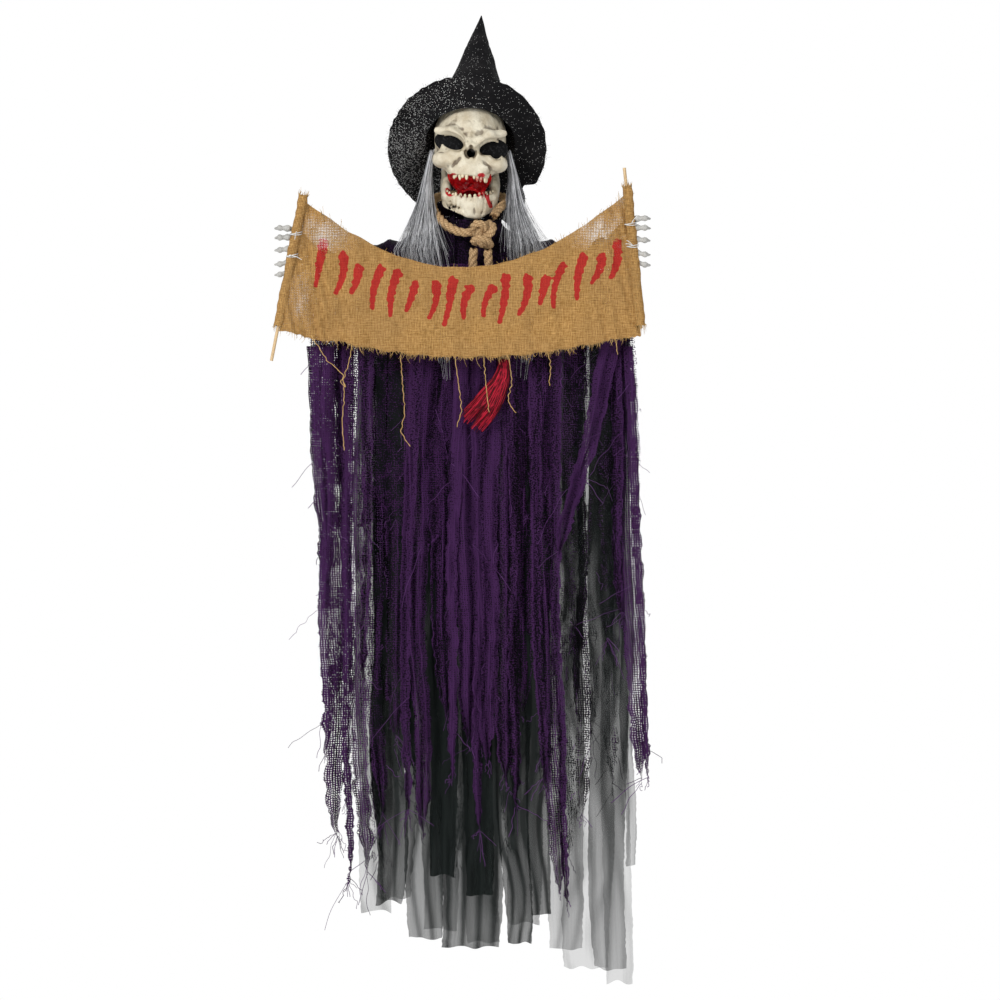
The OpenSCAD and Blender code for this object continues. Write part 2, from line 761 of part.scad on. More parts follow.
module head_cable() {
    color("black") swept(cable_route, 1.8, 8);
}

skull_face();
skull_back();
upper_teeth();
jaw();
lower_teeth();
jaw_pins();
jaw_gear();
motor_pinion();
motor_shaft();
motor();
motor_bracket();
skull_screws();
eye_screens();
eye_leds();
mouth_led();
mouth_liner();
hat_cone();
hat_brim();
hair_left();
hair_right();
neck_post();
neck_wrap();
shoulder_bar();
hang_tab();
tab_screws();
arm_wire_left();
arm_wire_right();
sleeve_left();
sleeve_right();
hand_left();
hand_right();
hand_ties();
dowel_left();
dowel_right();
banner();
banner_pocket_left();
banner_pocket_right();
rope_loop();
rope_knot();
rope_tail();
rope_tail_short();
rope_fray();
cape_front();
cape_back();
robe_front();
robe_back();
control_box();
box_cover();
battery_door();
batteries();
battery_contacts();
circuit_board();
speaker();
power_switch();
try_button();
box_screws();
head_cable();
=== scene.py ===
"""The hanging witch figure's looks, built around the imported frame. Geometry is worked out in millimetres."""

import itertools
import math

import bpy
import numpy as np
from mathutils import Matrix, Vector


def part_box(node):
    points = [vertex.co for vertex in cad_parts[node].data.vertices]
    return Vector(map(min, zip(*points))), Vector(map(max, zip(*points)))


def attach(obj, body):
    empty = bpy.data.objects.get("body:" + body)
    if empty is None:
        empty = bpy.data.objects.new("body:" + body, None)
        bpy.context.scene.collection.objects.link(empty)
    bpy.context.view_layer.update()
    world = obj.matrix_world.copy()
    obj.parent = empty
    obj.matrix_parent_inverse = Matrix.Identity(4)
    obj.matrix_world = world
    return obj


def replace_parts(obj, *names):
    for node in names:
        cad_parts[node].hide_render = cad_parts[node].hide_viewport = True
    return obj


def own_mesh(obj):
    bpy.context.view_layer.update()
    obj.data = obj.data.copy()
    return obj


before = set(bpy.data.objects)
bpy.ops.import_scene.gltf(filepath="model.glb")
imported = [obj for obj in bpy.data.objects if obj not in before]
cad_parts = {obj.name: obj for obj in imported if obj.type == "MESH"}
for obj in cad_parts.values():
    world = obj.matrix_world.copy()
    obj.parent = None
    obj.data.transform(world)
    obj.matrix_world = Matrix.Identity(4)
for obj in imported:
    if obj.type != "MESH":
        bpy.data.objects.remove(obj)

MM = 0.001
ROOT, JAW = "figure", "lower_jaw"
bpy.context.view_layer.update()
HEM_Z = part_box("robe_front")[0][2] * 1000
scene = bpy.context.scene
rng = np.random.default_rng(31)


def node_box(node):
    """A CAD node's box in millimetres."""
    lo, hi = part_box(node)
    return np.array(lo) * 1000, np.array(hi) * 1000


# ---------------------------------------------------------------- small maths


def vec(*v):
    return np.array(v, float)


def stack(*parts):
    """Joins coordinates, or colours, along a new last axis."""
    return np.stack(parts, axis=-1)


def row_share(rows, cols):
    """A grid that goes from 0 in the first row to 1 in the last."""
    return np.linspace(0, 1, rows)[:, None] + np.zeros((1, cols))


def column_share(rows, cols):
    """A grid that goes from 0 in the first column to 1 in the last."""
    return np.linspace(0, 1, cols)[None, :] + np.zeros((rows, 1))


def span_grid(rows, cols):
    """A grid that goes from -1 in the first column to 1 in the last."""
    return np.linspace(-1, 1, cols)[None, :] + np.zeros((rows, 1))


def angle_grid(rows, cols):
    """A grid whose columns go once round, with the first angle not repeated."""
    return np.linspace(0, 2 * math.pi, cols, endpoint=False)[None, :] + np.zeros((rows, 1))


def mix(a, b, t):
    return a + (b - a) * t


def smooth(lo, hi, x):
    t = np.clip((x - lo) / (hi - lo), 0, 1)
    return t * t * (3 - 2 * t)


def bump_at(x, centre, width):
    return np.exp(-(((x - centre) / width) ** 2))


def waves(p, size, seed, count=7):
    """A smooth wavy field from -1 to 1 over points p, with features about size wide."""
    own = np.random.default_rng(seed)
    p = np.asarray(p, float)
    total = np.zeros(p.shape[:-1])
    for _ in range(count):
        k = own.normal(size=p.shape[-1])
        k *= own.uniform(0.6, 1.5) * 2 * math.pi / size / np.linalg.norm(k)
        total += np.sin(p @ k + own.uniform(0, 6.28))
    return total / count * 1.6


def spline(points, count):
    """Count points along a smooth curve through the given ones."""
    p = np.asarray(points, float)
    p = np.vstack([2 * p[0] - p[1], p, 2 * p[-1] - p[-2]])
    t = np.linspace(0, len(p) - 3 - 1e-9, count)
    i = t.astype(int)
    f = (t - i)[:, None]
    a, b, c, d = p[i], p[i + 1], p[i + 2], p[i + 3]
    return 0.5 * (2 * b + (c - a) * f + (2 * a - 5 * b + 4 * c - d) * f**2 + (3 * b - a - 3 * c + d) * f**3)


def length_of(points):
    return float(np.linalg.norm(np.diff(np.asarray(points), axis=0), axis=1).sum())


def even(points, step):
    """The same curve with points a step apart."""
    fine = spline(points, 400)
    run = np.concatenate([[0], np.cumsum(np.linalg.norm(np.diff(fine, axis=0), axis=1))])
    at = np.linspace(0, run[-1], max(4, int(run[-1] / step) + 1))
    return np.stack([np.interp(at, run, fine[:, k]) for k in range(3)], axis=1)


def frames_along(line):
    """Two unit vectors square to the line at each point, without twist."""
    tangent = np.gradient(line, axis=0)
    tangent /= np.linalg.norm(tangent, axis=1)[:, None]
    first = np.cross(tangent[0], vec(0, 1, 0.13))
    side = [first / np.linalg.norm(first)]
    for t in tangent[1:]:
        s = side[-1] - t * (side[-1] @ t)
        side.append(s / np.linalg.norm(s))
    side = np.array(side)
    return side, np.cross(tangent, side)


# ---------------------------------------------------------------- meshes


class Build:
    """Collects points, faces and per-point attributes of one mesh."""

    def __init__(self):
        self.points, self.faces, self.extra, self.count = [], [], {}, 0

    def add(self, points, faces, **extra):
        points = np.asarray(points, float).reshape(-1, 3)
        self.faces += [tuple(int(i) + self.count for i in f) for f in faces]
        for name, values in extra.items():
            values = np.asarray(values, float)
            if values.ndim == 0:
                values = np.full(len(points), float(values))
            self.extra.setdefault(name, []).append((self.count, values))
        self.points.append(points)
        self.count += len(points)

    def grid(self, points, wrap=False, **extra):
        """Points shaped (rows, columns, 3); wrap closes the columns."""
        rows, cols = points.shape[:2]
        last = cols if wrap else cols - 1
        faces = [
            (r * cols + c, r * cols + (c + 1) % cols, (r + 1) * cols + (c + 1) % cols, (r + 1) * cols + c)
            for r in range(rows - 1)
            for c in range(last)
        ]
        extra = {k: np.asarray(v, float).reshape(rows * cols, -1).squeeze() for k, v in extra.items()}
        self.add(points, faces, **extra)

    def tube(self, line, radius, sides=6, caps=True, **extra):
        """A closed tube along a line, with one radius or one for each point."""
        side, up = frames_along(line)
        r = np.broadcast_to(np.asarray(radius, float), (len(line),))[:, None, None]
        a = np.arange(sides) * 2 * math.pi / sides
        ring = np.cos(a)[None, :, None] * side[:, None] + np.sin(a)[None, :, None] * up[:, None]
        points = line[:, None] + r * ring
        n = len(line)
        faces = [
            (i * sides + k, (i + 1) * sides + k, (i + 1) * sides + (k + 1) % sides,
            i * sides + (k + 1) % sides)
            for i in range(n - 1)
            for k in range(sides)
        ]
        if caps:
            faces.append(tuple(range(sides)))
            faces.append(tuple((n - 1) * sides + k for k in reversed(range(sides))))
        spread = {k: np.repeat(np.broadcast_to(np.asarray(v, float), (n,)), sides) for k, v in extra.items()}
        self.add(points, faces, **spread)

    def piece(self, name, body, slot, materials, shade_smooth=True):
        mesh = bpy.data.meshes.new(name)
        points = np.concatenate(self.points) * MM
        mesh.from_pydata(points.tolist(), [], self.faces)
        for key, parts in self.extra.items():
            wide = max(v.ndim for _, v in parts) > 1
            data = np.zeros((len(points), 3) if wide else len(points))
            for start, values in parts:
                data[start : start + len(values)] = values
            made = mesh.attributes.new(key, "FLOAT_VECTOR" if wide else "FLOAT", "POINT")
            made.data.foreach_set("vector" if wide else "value", data.ravel())
        mesh.polygons.foreach_set("use_smooth", [shade_smooth] * len(mesh.polygons))
        mesh.validate()
        ob = bpy.data.objects.new(name, mesh)
        scene.collection.objects.link(ob)
        for m in materials:
            mesh.materials.append(m)
        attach(ob, body)
        return ob


# ---------------------------------------------------------------- distance fields


def grid_points(lo, hi, step):
    axes = [np.arange(a, b + step, step) for a, b in zip(lo, hi)]
    return np.stack(np.meshgrid(*axes, indexing="ij"), axis=-1)


def ball(p, centre, radii):
    q = p - vec(*centre)
    r = vec(*radii)
    k0 = np.linalg.norm(q / r, axis=-1)
    k1 = np.linalg.norm(q / (r * r), axis=-1)
    return k0 * (k0 - 1) / np.maximum(k1, 1e-9)


def tilted_ball(p, centre, radii, degrees):
    """An ellipsoid turned in the frontal plane, positive lifting its +X end."""
    q = p - vec(*centre)
    c, s = math.cos(math.radians(degrees)), math.sin(math.radians(degrees))
    turned = stack(q[..., 0] * c + q[..., 2] * s, q[..., 1], -q[..., 0] * s + q[..., 2] * c)
    return ball(turned, (0, 0, 0), radii)


def capsule(p, a, b, ra, rb=None):
    a, b = vec(*a), vec(*b)
    rb = ra if rb is None else rb
    t = np.clip((p - a) @ (b - a) / ((b - a) @ (b - a)), 0, 1)
    return np.linalg.norm(p - (a + t[..., None] * (b - a)), axis=-1) - mix(ra, rb, t)


def join(a, b, k):
    h = np.clip(0.5 + 0.5 * (b - a) / k, 0, 1)
    return mix(b, a, h) - k * h * (1 - h)


def carve(a, b, k):
    return -join(-a, b, k)


def surface(field, lo, step):
    """The zero surface of a field of distances as quads, by surface nets."""
    inside = field < 0
    n = np.array(field.shape)
    corner = list(itertools.product((0, 1), repeat=3))

    def shifted(a, c):
        return a[c[0] : n[0] - 1 + c[0], c[1] : n[1] - 1 + c[1], c[2] : n[2] - 1 + c[2]]

    total = sum(shifted(inside, c).astype(np.int8) for c in corner)
    active = (total > 0) & (total < 8)
    index = np.full(active.shape, -1)
    index[active] = np.arange(active.sum())
    cells = np.argwhere(active)
    place = np.zeros((len(cells), 3))
    hits = np.zeros(len(cells))
    for a, b in itertools.combinations(corner, 2):
        if sum(abs(i - j) for i, j in zip(a, b)) != 1:
            continue
        fa, fb = shifted(field, a)[active], shifted(field, b)[active]
        cross = (fa < 0) != (fb < 0)
        t = np.where(cross, fa / np.where(cross, fa - fb, 1), 0)
        place += np.where(cross[:, None], np.array(a) + t[:, None] * (np.array(b) - np.array(a)), 0)
        hits += cross
    points = np.array(lo) + (cells + place / hits[:, None]) * step
    faces = []
    for axis in range(3):
        u, v = (axis + 1) % 3, (axis + 2) % 3
        here = [slice(0, n[k]) for k in range(3)]
        there = list(here)
        here[axis], there[axis] = slice(0, n[axis] - 1), slice(1, n[axis])
        cross = inside[tuple(here)] != inside[tuple(there)]
        at = np.argwhere(cross)
        at = at[(at[:, u] > 0) & (at[:, v] > 0) & (at[:, u] < n[u] - 1) & (at[:, v] < n[v] - 1)]
        du, dv = np.eye(3, dtype=int)[u], np.eye(3, dtype=int)[v]
        quad = [index[tuple((at - off).T)] for off in (du + dv, dv, 0 * du, du)]
        quad = np.stack(quad, axis=1)
        starts_in = inside[tuple(at.T)]
        quad[~starts_in] = quad[~starts_in][:, ::-1]
        faces.append(quad)
    return points, np.concatenate(faces).tolist()


# ---------------------------------------------------------------- materials


class Look:
    """A Principled material with short calls for its nodes."""

    def __init__(self, name, **sockets):
        self.material = bpy.data.materials.new(name)
        self.material.use_nodes = True
        self.tree = self.material.node_tree
        self.shader = next(n for n in self.tree.nodes if n.type == "BSDF_PRINCIPLED")
        for key, value in sockets.items():
            self.shader.inputs[key.replace("_", " ").title().replace("Ior", "IOR")].default_value = value

    def node(self, kind, values=None, **props):
        made = self.tree.nodes.new("ShaderNode" + kind)
        for key, value in props.items():
            setattr(made, key, value)
        for key, value in (values or {}).items():
            self.put(made.inputs[key], value)
        return made

    def put(self, socket, value):
        if hasattr(value, "is_linked"):
            self.tree.links.new(value, socket)
        else:
            socket.default_value = value

    def set(self, key, value):
        self.put(self.shader.inputs[key], value)

    def attr(self, name, out="Fac"):
        return self.node("Attribute", attribute_name=name).outputs[out]

    def where(self):
        return self.node("TexCoord").outputs["Object"]

    def math(self, op, a, b=0.0, c=0.0):
        return self.node("Math", {0: a, 1: b, 2: c}, operation=op).outputs[0]

    def plus(self, a, b):
        return self.math("ADD", a, b)

    def minus(self, a, b):
        return self.math("SUBTRACT", a, b)

    def times(self, a, b):
        return self.math("MULTIPLY", a, b)

    def madd(self, a, b, c):
        """a times b, plus c."""
        return self.math("MULTIPLY_ADD", a, b, c)

    def noise(self, scale, detail=3.0, at=None, rough=0.55):
        values = {"Vector": at or self.where(), "Scale": scale, "Detail": detail, "Roughness": rough}
        return self.node("TexNoise", values).outputs[0]

    def cells(self, scale, at=None, out="Distance", **props):
        return self.node("TexVoronoi", {"Vector": at or self.where(), "Scale": scale}, **props).outputs[out]

    def squeeze(self, at, x, y, z):
        return self.node("Mapping", {"Vector": at or self.where(), "Scale": (x, y, z)}).outputs[0]

    def ramp(self, fac, *stops):
        made = self.node("ValToRGB", {"Fac": fac})
        line = made.color_ramp
        while len(line.elements) < len(stops):
            line.elements.new(0.5)
        for element, (place, colour) in zip(line.elements, stops):
            element.position = place
            element.color = (*colour, 1) if hasattr(colour, "__len__") else (colour,) * 3 + (1,)
        return made.outputs[0]

    def blend(self, fac, a, b, mode="MIX"):
        made = self.node("Mix", data_type="RGBA", blend_type=mode)
        self.put(made.inputs[0], fac)
        for socket, value in ((made.inputs[6], a), (made.inputs[7], b)):
            self.put(socket, value if hasattr(value, "is_linked") else (*value, 1))
        return made.outputs[2]

    def bump(self, height, depth, strength=1.0):
        made = self.node("Bump", {"Height": height, "Distance": depth, "Strength": strength})
        self.set("Normal", made.outputs[0])

    def threads(self, flat, pitch):
        """Heights of two crossing sets of threads, each from 0 to 1, with the threads wandering a little."""
        wander = self.noise(60.0, 2.0, at=flat)
        parts = self.node("SeparateXYZ", {0: flat})
        heights = []
        for axis, shift in ((0, 0.4), (1, 0.9)):
            turn = self.madd(parts.outputs[axis], math.pi / pitch, shift)
            turn = self.madd(wander, 3.0, turn)
            heights.append(self.math("ABSOLUTE", self.math("SINE", turn)))
        return heights


def bone_look(name, light, dark, stain):
    look = Look(name, roughness=0.5)
    crease = look.attr("crease")
    blotch = look.noise(55.0, 6.0)
    grain = look.noise(420.0, 4.0)
    base = look.blend(look.ramp(blotch, (0.35, 0.0), (0.68, 1.0)), light, stain)
    # Darker in the creases and hollows: partly the dark wash the bone is painted with, partly painted shade.
    deep = look.madd(blotch, 0.5, look.minus(crease, 0.82))
    base = look.blend(look.ramp(deep, (0.06, 0.0), (0.6, 1.0)), base, dark)
    fleck = look.ramp(look.noise(900.0, 2.0), (0.62, 0.0), (0.7, 1.0))
    base = look.blend(look.times(fleck, 0.35), base, dark)
    blood = look.attr("blood")
    wet = look.ramp(look.madd(blotch, 0.6, blood), (0.62, 0.0), (0.74, 1.0))
    look.set("Base Color", look.blend(wet, base, (0.42, 0.008, 0.012)))
    look.set("Roughness", look.madd(wet, -0.33, look.madd(grain, 0.25, 0.42)))
    height = look.madd(look.cells(210.0), -0.35, look.times(grain, 0.6))
    look.bump(height, 0.0012, 0.8)
    return look.material


def teeth_look():
    look = Look("teeth_enamel", roughness=0.28, coat_weight=0.3)
    crease = look.attr("crease")
    tone = look.noise(160.0, 4.0)
    base = look.blend(tone, (0.76, 0.7, 0.52), (0.6, 0.5, 0.3))
    # Painted shade: darker towards the roots, where the teeth go into the gum.
    root = look.madd(tone, 0.5, crease)
    base = look.blend(look.ramp(root, (0.55, 0.0), (1.0, 1.0)), base, (0.1, 0.045, 0.02))
    blood = look.ramp(look.madd(tone, 0.6, look.attr("blood")), (0.7, 0.0), (0.85, 1.0))
    look.set("Base Color", look.blend(blood, base, (0.4, 0.008, 0.01)))
    look.bump(tone, 0.0006)
    return look.material


def felt_look():
    look = Look("black_felt", roughness=0.97, specular_ior_level=0.08)
    fine = look.noise(900.0, 5.0)
    broad = look.noise(18.0, 4.0)
    base = look.blend(fine, (0.003, 0.003, 0.0035), (0.014, 0.0135, 0.0145))
    base = look.blend(look.ramp(broad, (0.45, 0.0), (0.8, 1.0)), base, (0.022, 0.02, 0.021))
    cell = look.cells(760.0)
    pick = look.node("SeparateColor", {0: look.cells(760.0, out="Color")}).outputs[0]
    thick = look.madd(look.attr("glitter"), 0.4, 0.09)
    chosen = look.math("LESS_THAN", pick, look.times(thick, look.ramp(broad, (0.3, 0.3), (0.7, 1.0))))
    speck = look.times(chosen, look.math("LESS_THAN", cell, 0.34))
    look.set("Base Color", look.blend(speck, base, (0.72, 0.72, 0.7)))
    look.set("Roughness", look.madd(speck, -0.6, 0.95))
    look.bump(look.plus(fine, look.times(look.noise(260.0, 3.0), 0.7)), 0.0012)
    return look.material


def strand_look(name, dark, light, rough=0.38, shine=0.5):
    look = Look(name, roughness=rough, specular_ior_level=shine)
    tone = look.madd(look.noise(140.0, 3.0), 0.45, look.attr("tone"))
    look.set("Base Color", look.ramp(tone, (0.1, dark), (1.05, light)))
    look.bump(look.noise(1500.0, 2.0), 0.0002)
    return look.material


def rope_look(name, dark, mid, light):
    look = Look(name, roughness=0.9, specular_ior_level=0.2)
    lay = look.node("SeparateXYZ", {0: look.attr("lay", "Vector")})
    turn = look.plus(look.times(lay.outputs[0], 900.0), look.times(lay.outputs[1], 9.0))
    yarn = look.madd(look.math("SINE", turn), 0.5, 0.5)
    fibre = look.noise(700.0, 4.0)
    tone = look.madd(yarn, 0.35, look.times(fibre, 0.9))
    # Painted shade where the strands press against each other.
    tone = look.minus(tone, look.times(look.attr("crease"), 0.6))
    look.set("Base Color", look.ramp(tone, (0.12, dark), (0.5, mid), (0.95, light)))
    look.bump(look.plus(yarn, look.times(fibre, 1.2)), 0.0011)
    return look.material


def burlap_look():
    look = Look("burlap", roughness=0.92, specular_ior_level=0.15)
    flat = look.attr("flat", "Vector")
    warp, weft = look.threads(flat, 0.0024)
    slub = look.noise(1.0, 4.0, at=look.squeeze(flat, 90.0, 700.0, 1.0))
    slub2 = look.noise(1.0, 4.0, at=look.squeeze(flat, 700.0, 90.0, 1.0))
    cover = look.math("MAXIMUM", look.madd(slub, 0.5, warp), look.madd(slub2, 0.5, weft))
    # The slubs lighten the yarn, its own tone; lightening the thread crowns is painted shade between the
    # threads.
    tone = look.madd(look.plus(slub, slub2), 0.5, look.times(cover, 0.3))
    cloth = look.ramp(tone, (0.48, (0.07, 0.03, 0.007)), (0.75, (0.34, 0.175, 0.05)),
        (1.05, (0.6, 0.36, 0.13)))
    dirty = look.ramp(look.noise(16.0, 3.0), (0.35, 0.0), (0.75, 1.0))
    cloth = look.blend(look.times(dirty, 0.3), cloth, (0.3, 0.18, 0.08))
    dry = look.noise(230.0, 4.0, at=flat)
    paint = look.ramp(look.madd(dry, 0.55, look.attr("paint")), (0.72, 0.0), (0.86, 1.0))
    red = look.blend(tone, (0.22, 0.006, 0.01), (0.46, 0.016, 0.02))
    look.set("Base Color", look.blend(look.times(paint, 0.93), cloth, red))
    look.bump(look.plus(look.times(cover, 0.8), slub), 0.0012)
    limit = look.madd(look.attr("thin"), 0.75, look.times(look.noise(300.0, 3.0, at=flat), 0.62))
    look.set("Alpha", look.math("GREATER_THAN", look.plus(cover, 0.02), limit))
    return look.material


def gauze_look(name, dark, light, pitch, gape):
    """Torn open-weave cloth. 'open' thins it, and 'edge' nears 1 where it frays away."""
    look = Look(name, roughness=0.93, specular_ior_level=0.1)
    flat = look.attr("flat", "Vector")
    warp, weft = look.threads(flat, pitch)
    cover = look.math("MAXIMUM", warp, weft)
    slub = look.noise(1.0, 3.0, at=look.squeeze(flat, 420.0, 60.0, 1.0))
    patch = look.noise(1.0, 5.0, at=look.squeeze(flat, 48.0, 24.0, 1.0), rough=0.62)
    patch = look.ramp(patch, (0.42, 0.0), (0.7, 1.0))
    speckle = look.noise(420.0, 3.0, at=flat)
    # The tone attribute carries each piece's own depth of colour and painted shade in its folds and wrinkles.
    tone = look.madd(speckle, 1.1, look.times(look.attr("tone"), 0.5))
    tone = look.madd(slub, 0.3, tone)
    look.set("Base Color", look.ramp(tone, (0.86, dark), (1.16, light)))
    look.bump(look.plus(cover, speckle), 0.0012)
    limit = look.madd(look.attr("open"), 1.3, 0.22)
    limit = look.madd(patch, gape, limit)
    limit = look.madd(look.math("POWER", look.attr("edge"), 3.0), 0.4, limit)
    limit = look.madd(look.minus(speckle, 0.5), -1.5, limit)
    look.set("Alpha", look.math("GREATER_THAN", look.plus(cover, 0.03), limit))
    return look.material


def voile_look(name, colour, lowest, highest):
    """Sheer cloth: a fine even veil, denser where 'fold' is high because the cloth stands edge on."""
    look = Look(name, roughness=0.8, specular_ior_level=0.15)
    flat = look.attr("flat", "Vector")
    streak = look.noise(1.0, 3.0, at=look.squeeze(flat, 160.0, 1.5, 1.0))
    fine = look.noise(900.0, 1.0, at=flat)
    look.set("Base Color", look.blend(streak, colour, tuple(1.8 * c for c in colour)))
    veil = look.times(look.math("POWER", look.attr("fold"), 4.0), 0.25)
    veil = look.madd(streak, 0.3, veil)
    veil = look.madd(fine, 0.35, veil)
    veil = look.minus(veil, look.attr("open"))
    made = look.node("MapRange", {0: veil, 1: -0.75, 2: 0.15, 3: lowest, 4: highest})
    look.set("Alpha", made.outputs[0])
    look.bump(fine, 0.0003)
    return look.material


def wood_look():
    look = Look("pale_wood", roughness=0.6)
    rings = look.noise(1.0, 4.0, at=look.squeeze(None, 420.0, 420.0, 24.0))
    pores = look.noise(1.0, 2.0, at=look.squeeze(None, 1500.0, 1500.0, 90.0))
    base = look.ramp(rings, (0.3, (0.47, 0.3, 0.14)), (0.7, (0.72, 0.53, 0.3)))
    look.set("Base Color", look.blend(look.ramp(pores, (0.6, 0.0), (0.7, 0.6)), base, (0.3, 0.18, 0.08)))
    look.bump(rings, 0.0004)
    return look.material


def plain_look(name, colour, rough, metal=0.0, grain=700.0, depth=0.0002, vary=0.25, **sockets):
    """Moulded plastic, metal or rubber: slight mottling, fine grain and worn roughness."""
    look = Look(name, metallic=metal, **sockets)
    mottle = look.noise(90.0, 5.0)
    other = tuple(c * (1 - vary) for c in colour)
    look.set("Base Color", look.blend(mottle, other, colour))
    fine = look.noise(grain, 3.0)
    look.set("Roughness", look.madd(fine, 0.25, max(rough - 0.12, 0.04)))
    look.bump(fine, depth)
    return look.material


def mouth_look():
    look = Look("wet_red", roughness=0.12, coat_weight=0.8)
    ridge = look.noise(95.0, 5.0)
    # Painted shade: darker in the dips of the bumps, lighter on their ridges.
    base = look.ramp(ridge, (0.3, (0.09, 0.0, 0.003)), (0.5, (0.42, 0.006, 0.01)), (0.72, (0.8, 0.02, 0.02)))
    look.set("Base Color", base)
    look.bump(ridge, 0.004, 0.9)
    return look.material


def screen_look():
    look = Look("eye_mesh", roughness=0.7, specular_ior_level=0.1)
    knit = look.cells(900.0)
    glint = look.ramp(look.noise(260.0, 3.0), (0.52, 0.0), (0.66, 1.0))
    base = look.blend(look.times(glint, 0.55), (0.004, 0.004, 0.0045), (0.05, 0.05, 0.055))
    look.set("Base Color", look.blend(look.ramp(knit, (0.1, 1.0), (0.45, 0.0)), base, (0.012, 0.012, 0.013)))
    look.bump(knit, 0.0006)
    return look.material


BONE = bone_look("bone", (0.72, 0.66, 0.52), (0.07, 0.04, 0.02), (0.5, 0.42, 0.29))
PALE_BONE = bone_look("pale_bone", (0.5, 0.49, 0.46), (0.07, 0.06, 0.05), (0.36, 0.35, 0.33))
TEETH = teeth_look()
FELT = felt_look()
HAIR = strand_look("grey_hair", (0.045, 0.045, 0.05), (0.86, 0.86, 0.88))
JUTE = rope_look("jute_rope", (0.12, 0.06, 0.025), (0.46, 0.28, 0.13), (0.74, 0.53, 0.31))
JUTE_FIBRE = strand_look("jute_fibre", (0.28, 0.16, 0.05), (0.62, 0.4, 0.16), 0.85, 0.15)
RED_FIBRE = strand_look("red_fibre", (0.07, 0.002, 0.006), (0.6, 0.016, 0.045), 0.7, 0.2)
BURLAP = burlap_look()
PURPLE = gauze_look("purple_gauze", (0.0015, 0.0008, 0.002), (0.048, 0.015, 0.066), 0.0036, 0.4)
PURPLE_CLOTH = gauze_look("purple_cloth", (0.002, 0.001, 0.003), (0.024, 0.009, 0.034), 0.0026, 0.0)
PURPLE_FIBRE = strand_look("purple_fibre", (0.012, 0.005, 0.018), (0.11, 0.04, 0.15), 0.9, 0.12)
BLACK_VOILE = voile_look("black_voile", (0.004, 0.006, 0.0055), 0.28, 0.97)
WOOD = wood_look()
STEEL = plain_look("zinc_steel", (0.62, 0.62, 0.64), 0.32, metal=1.0)
GEAR = plain_look("white_acetal", (0.74, 0.74, 0.7), 0.4)
MOTOR = plain_look("motor_can", (0.5, 0.5, 0.52), 0.3, metal=1.0, grain=1200.0)
FRAME_PLASTIC = plain_look("dark_plastic", (0.06, 0.06, 0.065), 0.5)
BOX_PLASTIC = plain_look("black_plastic", (0.028, 0.028, 0.03), 0.55, depth=0.0004)
LENS = plain_look("red_lens", (0.62, 0.02, 0.02), 0.14, coat_weight=0.6)
MOUTH = mouth_look()
SCREEN = screen_look()
CLEAR = plain_look("clear_nylon", (0.8, 0.82, 0.82), 0.18, vary=0.08, coat_weight=0.5)
CELL = plain_look("cell_sleeve", (0.03, 0.1, 0.06), 0.25, coat_weight=0.4)
BOARD = plain_look("solder_mask", (0.02, 0.13, 0.06), 0.3)
PAPER = plain_look("cone_paper", (0.05, 0.05, 0.05), 0.85, grain=400.0, depth=0.0006)
CABLE = plain_look("cable_jacket", (0.02, 0.02, 0.02), 0.6)

# ---------------------------------------------------------------- camera, stage and light

VIEW_AT = vec(47, -100, -421) * MM
FRAME_W, LENS_MM, SENSOR_MM = 1.56, 150.0, 36.0
camera = bpy.data.objects.new("camera", bpy.data.cameras.new("camera"))
camera.data.lens, camera.data.sensor_width = LENS_MM, SENSOR_MM
camera.location = VIEW_AT - vec(0, FRAME_W * LENS_MM / SENSOR_MM, 0)
camera.rotation_euler = (math.pi / 2, 0, 0)
scene.collection.objects.link(camera)
scene.camera = camera


def make_stage():
    """A pale floor below the hem, which ends short of the camera's view."""
    low, near, far, half = -1420.0, -60000.0, 1600.0, 60000.0
    mesh = bpy.data.meshes.new("floor")
    corners = np.array([(-half, near, low), (half, near, low), (half, far, low), (-half, far, low)]) * MM
    mesh.from_pydata(corners.tolist(), [], [(0, 1, 2, 3)])
    look = Look("pale_floor", roughness=0.9)
    look.set("Base Color", look.blend(look.noise(3.0, 2.0), (0.84, 0.84, 0.84), (0.88, 0.88, 0.88)))
    mesh.materials.append(look.material)
    floor = bpy.data.objects.new("floor", mesh)
    scene.collection.objects.link(floor)


def light_world():
    """White behind the figure, dimmer on the camera's side, so that the cloth is lit from behind."""
    world = bpy.data.worlds.new("studio")
    scene.world = world
    world.use_nodes = True
    tree = world.node_tree
    made = {k: tree.nodes.new("ShaderNode" + k) for k in ("TexCoord", "SeparateXYZ", "ValToRGB")}
    tree.links.new(made["TexCoord"].outputs["Generated"], made["SeparateXYZ"].inputs[0])
    tree.links.new(made["SeparateXYZ"].outputs[1], made["ValToRGB"].inputs[0])
    dim, bright = made["ValToRGB"].color_ramp.elements
    dim.position, dim.color = 0.2, (0.42, 0.43, 0.44, 1)
    bright.position, bright.color = 0.75, (1, 1, 1, 1)
    tree.links.new(made["ValToRGB"].outputs[0], tree.nodes["Background"].inputs[0])


def area_light(name, place, target, size, power):
    light = bpy.data.lights.new(name, "AREA")
    light.size, light.energy = size, power
    ob = bpy.data.objects.new(name, light)
    ob.location = place
    ob.rotation_euler = (Vector(target) - Vector(place)).to_track_quat("-Z", "Y").to_euler()
    scene.collection.objects.link(ob)


make_stage()
light_world()
area_light("key", (-2.2, -3.4, 1.6), (0, 0, -0.3), 1.4, 120)
area_light("fill", (2.6, -3.2, 0.4), (0, 0, -0.5), 2.2, 30)
area_light("front", (0.0, -4.6, -0.6), (0, 0, -0.6), 2.5, 14)
area_light("back", (0.4, 3.4, 1.8), (0, 0, -0.4), 2.2, 60)
scene.view_settings.view_transform = "Standard"
scene.cycles.transparent_max_bounces = 24

# ---------------------------------------------------------------- rope

